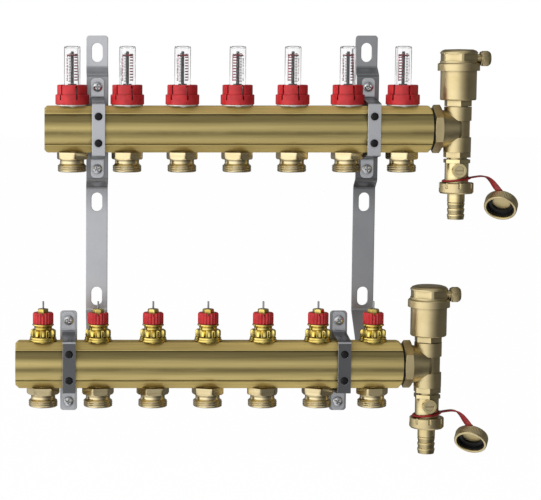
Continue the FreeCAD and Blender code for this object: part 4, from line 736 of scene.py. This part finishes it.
def preset_ring(piece):
    """A ridged ring whose notch points at the viewer."""
    piece.turned(
        [
            (6.1, 16.1), (8.6, 16.1), (ridged(9.1, 0.3), 16.4), (ridged(9.4, 0.75), 16.9),
            (ridged(9.4, 0.75), lip(24.9)), (ridged(9.2, 0.6), lip(25.7)), (8.6, lip(26.25)),
            (6.1, lip(26.3)),
        ],
        around=240,
    )


def build_inserts():
    bodies, glands = Piece(), Piece()
    gland_turns = (2, 28, 8, 20, 4, 16, 26)
    for k, spot, turn in zip(OUTLETS, INSERTS, gland_turns):
        place = above(spot, RETURN_TOP)
        insert_body(bodies.move(place))
        gland_nut(glands.move(place), FRONT + math.radians(turn))
        ring = Piece().move(place)
        preset_ring(ring)
        ring.object(f"Preset_ring_{k}", "red_plastic", f"preset_ring_{k}", f"preset_ring_{k}")
    bodies.object("Insert_bodies", "polished_brass", "fixed", "valve_insert_bodies", sharp=40)
    glands.object("Gland_nuts", "polished_brass", "fixed", "valve_gland_nuts", sharp=40)


# ---------------------------------------------------------------- springs


def circle(radius, count):
    angles = [math.tau * step / count for step in range(count)]
    return [(radius * math.cos(angle), radius * math.sin(angle)) for angle in angles]


def coil(piece, radius, wire, height, turns, around=24):
    """A spring's wire that climbs about Z from zero to this height."""
    path, sides = [], []
    count = turns * around
    for step in range(count + 1):
        angle = math.tau * step / around
        side = Vector((math.cos(angle), math.sin(angle), 0))
        path.append(side * radius + Vector((0, 0, wire + (height - wire * 2) * step / count)))
        sides.append(side)
    piece.swept(path, sides, circle(wire, 8))


def build_spring_row(node, name, spots, radius, wire, turns):
    """Each spring stands on its lower end and is as tall as its row's CAD node."""
    low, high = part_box(node)
    length = high.z - low.z
    for k, spot in zip(OUTLETS, spots):
        foot = above(spot, low.z)
        piece = Piece().move(foot)
        coil(piece, radius, wire, length / MM, turns)
        made = piece.object(f"{name}_{k}", "spring_steel", "fixed", node)
        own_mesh(made)


def build_springs():
    build_spring_row(
        "flow_meter_springs", "Flow_meter_spring", METERS,
        radius=2.6, wire=0.25, turns=10,
    )
    build_spring_row(
        "valve_springs", "Valve_spring", INSERTS,
        radius=2.9, wire=0.35, turns=5,
    )


# ---------------------------------------------------------------- vents, straps and caps


STRAP_RING_HALF_DEPTH = 13.4  # from the drain's axis back to the strap ring's rear
SPINDLE_DROP = 11.4  # from the tee's lower end down to the drain's spindle
CAP_OPENING = Vector((-0.33, -0.68, -0.655)).normalized()
CAP_PLACE = Vector((42.95, 3.4, -40.3))  # from the drain's axis, at the tee's lower end
STRAP_RADIUS = 12.1
STRAP_HEIGHT = -20.15
STRAP_TILT = math.radians(7.4)
STRAP_STEPS = 72
# The middle of the strap's band, from the ring to the back of the cap.
BAND_KNOTS = [
    Vector(knot) for knot in (
        (11.5, 0, -18.8), (15, 0, -18.2), (19, 0, -17.6), (23, -0.4, -17.3), (27.5, -1.2, -18.3),
        (31.5, -2.2, -21.6), (34.8, -3.4, -26.0), (37.3, -4.6, -29.2), (39.0, -4.4, -30.6),
        (40.2, -2.4, -32.3), (41.7, 0.4, -35.6), (43.2, 3.7, -39.6),
    )
]
BAND_HALF_WIDTH, BAND_HALF_THICK, BAND_BEVEL = 2.7, 0.7, 0.35
TWIST_START, TWIST_LENGTH = 2.5, 4.5  # in knots along the band


def fluted(radius, depth, count):
    return lambda angle: radius - depth * (0.5 + 0.5 * math.cos(count * angle)) ** 2


def build_side_cap(side):
    """The knurled cap on the vent's outlet, hollow at its inner end."""
    low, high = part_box(f"{side}_vent_side_cap")
    axis_y, axis_z = (low.y + high.y) / 2, (low.z + high.z) / 2
    reach = (high.x - low.x) / MM
    flute, end = fluted(6.9, 0.2, 30), fluted(6.6, 0.12, 30)
    piece = Piece().move((low.x, axis_y, axis_z), Matrix.Rotation(math.pi / 2, 4, "Y"))
    piece.turned(
        [
            (4.06, 0), (5.9, 0), (6.3, 0.3), (6.3, 1.3), (end, 1.5), (flute, 1.8), (flute, reach - 2.6),
            (end, reach - 2.1), (6.2, reach - 1.5), (5.7, reach - 0.8), (4.9, reach - 0.25),
            (3.8, reach), (0, reach), (0, reach - 4.4), (4.06, reach - 4.4),
        ],
        around=180,
    )
    body = f"{side}_vent_side_cap"
    piece.object(f"{side.capitalize()}_side_cap", "cast_brass", body, body)


def cap_shell(piece):
    knurl = fluted(15.0, 0.3, 64)
    piece.turned(
        [
            (0, 0), (12.6, 0), (13.7, 0.3), (14.5, 0.9), (14.8, 1.6), (knurl, 2.2), (knurl, 8.4),
            (14.85, 8.9), (14.7, 9.6), (14.2, 10.0), (12.8, 10.0), (12.4, 9.6), (12.35, 2.3), (0, 2.2),
        ],
        around=256,
    )


def cap_gasket(piece):
    # The black sleeve up the cap's inner wall is partly the gasket and partly painted shade: the dark
    # inside of the cap is drawn as black rubber.
    outline = [(12.3, 2.3), (12.3, 8.2), (11.5, 8.2), (11.1, 4.6), (8.3, 4.3), (8.0, 2.3)]
    piece.turned(rounded(outline, 0.4), around=96)


def strap_ring(piece):
    """A tilted ring about the drain, of a lens section that is flatter on top."""
    path, outward = [], []
    for step in range(STRAP_STEPS):
        angle = math.tau * step / STRAP_STEPS
        x, y = STRAP_RADIUS * math.cos(angle), STRAP_RADIUS * math.sin(angle)
        spot = Vector((x * math.cos(STRAP_TILT), y, STRAP_HEIGHT + x * math.sin(STRAP_TILT)))
        path.append(spot)
        outward.append(Vector((spot.x, spot.y, spot.x * math.sin(STRAP_TILT))).normalized())
    lens = [(1.3 * across, (0.85 if up > 0 else 1.15) * up) for across, up in circle(1.0, 12)]
    piece.swept(path, outward, lens, loop=True)


def through(knots, steps):
    """Points of a smooth curve through knots, each with its place counted in knots."""
    last = len(knots) - 1
    for step in range(last * steps + 1):
        place = step / steps
        index = min(int(place), last - 1)
        t = place - index
        a, b, c, d = (knots[min(max(index + near, 0), last)] for near in (-1, 0, 1, 2))
        cubic = (3 * b - a - 3 * c + d) * t ** 3
        yield place, 0.5 * (2 * b + (c - a) * t + (2 * a - 5 * b + 4 * c - d) * t * t + cubic)


def smooth_step(value):
    value = min(max(value, 0.0), 1.0)
    return value * value * (3 - 2 * value)


def strap_band(piece):
    """A flat band that leaves the ring level and twists to lie on the back of the cap."""
    end_side = CAP_OPENING.cross((BAND_KNOTS[-1] - BAND_KNOTS[-3]).normalized()).normalized()
    path, sides = [], []
    for place, spot in through(BAND_KNOTS, 5):
        twist = smooth_step((place - TWIST_START) / TWIST_LENGTH)
        path.append(spot)
        sides.append((Vector((0, -1, 0)) * (1 - twist) + end_side * twist).normalized())
    half, thick, flat = BAND_HALF_WIDTH, BAND_HALF_THICK, BAND_HALF_WIDTH - BAND_BEVEL
    band = [(half, -thick / 2), (half, thick / 2), (flat, thick), (0, thick), (-flat, thick)]
    band += [(-half, thick / 2), (-half, -thick / 2), (-flat, -thick), (0, -thick), (flat, -thick)]
    piece.swept(path, sides, band)


def build_cap(side):
    """Cap, gasket and strap, placed from the drain's axis and the tee's lower end."""
    spindle = middle(f"{side}_drain_spindle")
    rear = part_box(f"{side}_cap_strap")[1].y
    drain = Vector((spindle.x, rear - STRAP_RING_HALF_DEPTH * MM, spindle.z + SPINDLE_DROP * MM))
    centre = drain + CAP_PLACE * MM
    turn = CAP_OPENING.to_track_quat("Z", "Y").to_matrix()
    name, body = side.capitalize(), f"{side}_drain_cap"
    cap, gasket, strap = Piece().move(centre, turn), Piece().move(centre, turn), Piece().move(drain)
    cap_shell(cap)
    cap.object(f"{name}_cap", "cast_brass", body, f"{side}_drain_cap")
    cap_gasket(gasket)
    gasket.object(f"{name}_gasket", "black_rubber", body, f"{side}_cap_gasket")
    strap_ring(strap)
    strap_band(strap)
    strap.object(f"{name}_strap", "red_rubber", body, f"{side}_cap_strap", sharp=50)


build_nipples()
build_flow_meters()
build_inserts()
build_springs()
for side in ("supply", "return"):
    build_side_cap(side)
    build_cap(side)


# ---------------------------------------------------------------- floor, light, camera


SOFTBOX_SIDE = (-0.85, -0.53, 0)
# Brightness by how far a direction turns towards the softbox, and by its height.
AROUND = (
    (-1.0, 0.1), (-0.6, 0.09), (-0.3, 0.06), (0.05, 0.18), (0.35, 0.36), (0.53, 0.5), (0.72, 0.88),
    (1.0, 1.0),
)
HEIGHTS = (
    (-1.0, 0.75), (-0.85, 0.8), (-0.62, 0.5), (-0.45, 0.25), (-0.22, 0.55), (-0.02, 0.95), (0.22, 1.0),
    (0.42, 0.6), (0.62, 0.28), (0.8, 0.35), (1.0, 0.55),
)
OVERHEAD = 0.6
STEEP_START, STEEP_END = 0.78, 0.96
STUDIO_STRENGTH = 1.9
FLOOR_GLOW = 0.985


def studio_world():
    """White for the camera and through clear parts. Reflections see a softbox at the left front,
    a dark right side, and light and dark bands one above the other."""
    s = Shader(bpy.data.worlds.new("Studio"), "ShaderNodeOutputWorld", "Generated")
    level = s.vector("NORMALIZE", s.vector("MULTIPLY", s.place, (1, 1, 0)).outputs[0]).outputs[0]
    around = s.spread(s.vector("DOT_PRODUCT", level, SOFTBOX_SIDE).outputs["Value"], AROUND)
    height = s.node("ShaderNodeSeparateXYZ", Vector=s.place).outputs["Z"]
    steep = s.node(
        "ShaderNodeMapRange", Value=s.math("ABSOLUTE", height), From_Min=STEEP_START, From_Max=STEEP_END
    )
    steep.interpolation_type = "SMOOTHSTEP"
    overhead = s.node("ShaderNodeMix", i0=steep.outputs[0], i2=around, i3=OVERHEAD).outputs[0]
    bright = s.math("MULTIPLY", s.math("MULTIPLY", overhead, s.spread(height, HEIGHTS)), STUDIO_STRENGTH)
    studio = s.node("ShaderNodeBackground", Color=(1, 1, 1, 1), Strength=bright)
    white = s.node("ShaderNodeBackground", Color=(1, 1, 1, 1), Strength=1.0)
    path = s.node("ShaderNodeLightPath").outputs
    seen = s.math("MAXIMUM", path["Is Camera Ray"], path["Is Transmission Ray"])
    choose = s.node("ShaderNodeMixShader", i0=seen, i1=studio.outputs[0], i2=white.outputs[0])
    bpy.context.scene.world = s.show(choose.outputs[0])


def lamp(name, place, target, width, height, watts):
    """A soft rectangle of light that doesn't show in reflections."""
    data = bpy.data.lights.new(name, "AREA")
    data.shape = "RECTANGLE"
    data.size, data.size_y = width, height
    data.energy = watts
    made = bpy.data.objects.new(name, data)
    made.location = place
    made.rotation_euler = (Vector(target) - Vector(place)).to_track_quat("-Z", "Y").to_euler()
    made.visible_glossy = False
    bpy.context.scene.collection.objects.link(made)


def pale_floor(height):
    """A wide pale floor that the camera sees as almost white, as in a cut-out picture."""
    grid = bmesh.new()
    bmesh.ops.create_grid(grid, x_segments=8, y_segments=8, size=6.0)
    bmesh.ops.translate(grid, verts=grid.verts, vec=(0, 0, height))
    mesh = bpy.data.meshes.new("Floor")
    grid.to_mesh(mesh)
    grid.free()
    floor = bpy.data.objects.new("Floor", mesh)
    bpy.context.scene.collection.objects.link(floor)
    s = Shader(bpy.data.materials.new("Floor"))
    color = s.ramp(s.noise(6.0, 3.0), ((0.3, (0.90, 0.90, 0.895)), (0.7, (0.93, 0.93, 0.925))))
    real = s.node("ShaderNodeBsdfPrincipled", Base_Color=color, Roughness=0.7)
    glow = s.node("ShaderNodeEmission", Color=(1, 1, 1, 1), Strength=1.0)
    seen = s.node("ShaderNodeLightPath").outputs["Is Camera Ray"]
    share = s.math("MULTIPLY", seen, FLOOR_GLOW)
    both = s.node("ShaderNodeMixShader", i0=share, i1=real.outputs[0], i2=glow.outputs[0])
    mesh.materials.append(s.show(both.outputs[0]))
    floor.visible_glossy = False


CAMERA_PLACE = Vector((-45.8, -1806.5, 78.3)) * MM
CAMERA_TILT = math.radians(6.08)
CAMERA_LENS = 129.75
CAMERA_SHIFT = 0.4121


def camera():
    """At the left of the object, with its lens shifted to take in the whole of it."""
    data = bpy.data.cameras.new("Camera")
    data.lens = CAMERA_LENS
    data.sensor_width = 36.0
    data.clip_end = 50
    made = bpy.data.objects.new("Camera", data)
    made.location = CAMERA_PLACE
    made.rotation_euler = (math.radians(90) - CAMERA_TILT, 0, 0)
    bpy.context.scene.collection.objects.link(made)
    bpy.context.scene.camera = made
    # The shift belongs to this place alone: from anywhere else the camera looks straight ahead.
    curve = data.driver_add("shift_x")
    curve.modifiers.remove(curve.modifiers[0])
    curve.driver.type = "SUM"
    across = curve.driver.variables.new()
    across.type = "TRANSFORMS"
    across.targets[0].id = made
    across.targets[0].transform_type = "LOC_X"
    for aside, shift in ((-40, 0), (-20, CAMERA_SHIFT), (20, CAMERA_SHIFT), (40, 0)):
        point = curve.keyframe_points.insert(CAMERA_PLACE.x + aside * MM, shift)
        point.interpolation = "LINEAR"


studio_world()
centre = [(low + high) / 2 for low, high in zip(*CAD_BOX)]
lamp("Key", (-1.9, -1.0, 0.8), centre, width=0.9, height=1.2, watts=34)
lamp("Top", (0.1, -0.5, 1.6), centre, width=1.6, height=0.8, watts=4)
pale_floor(CAD_BOX[0][2] - 0.5 * MM)
camera()
bpy.context.scene.view_settings.view_transform = "Standard"
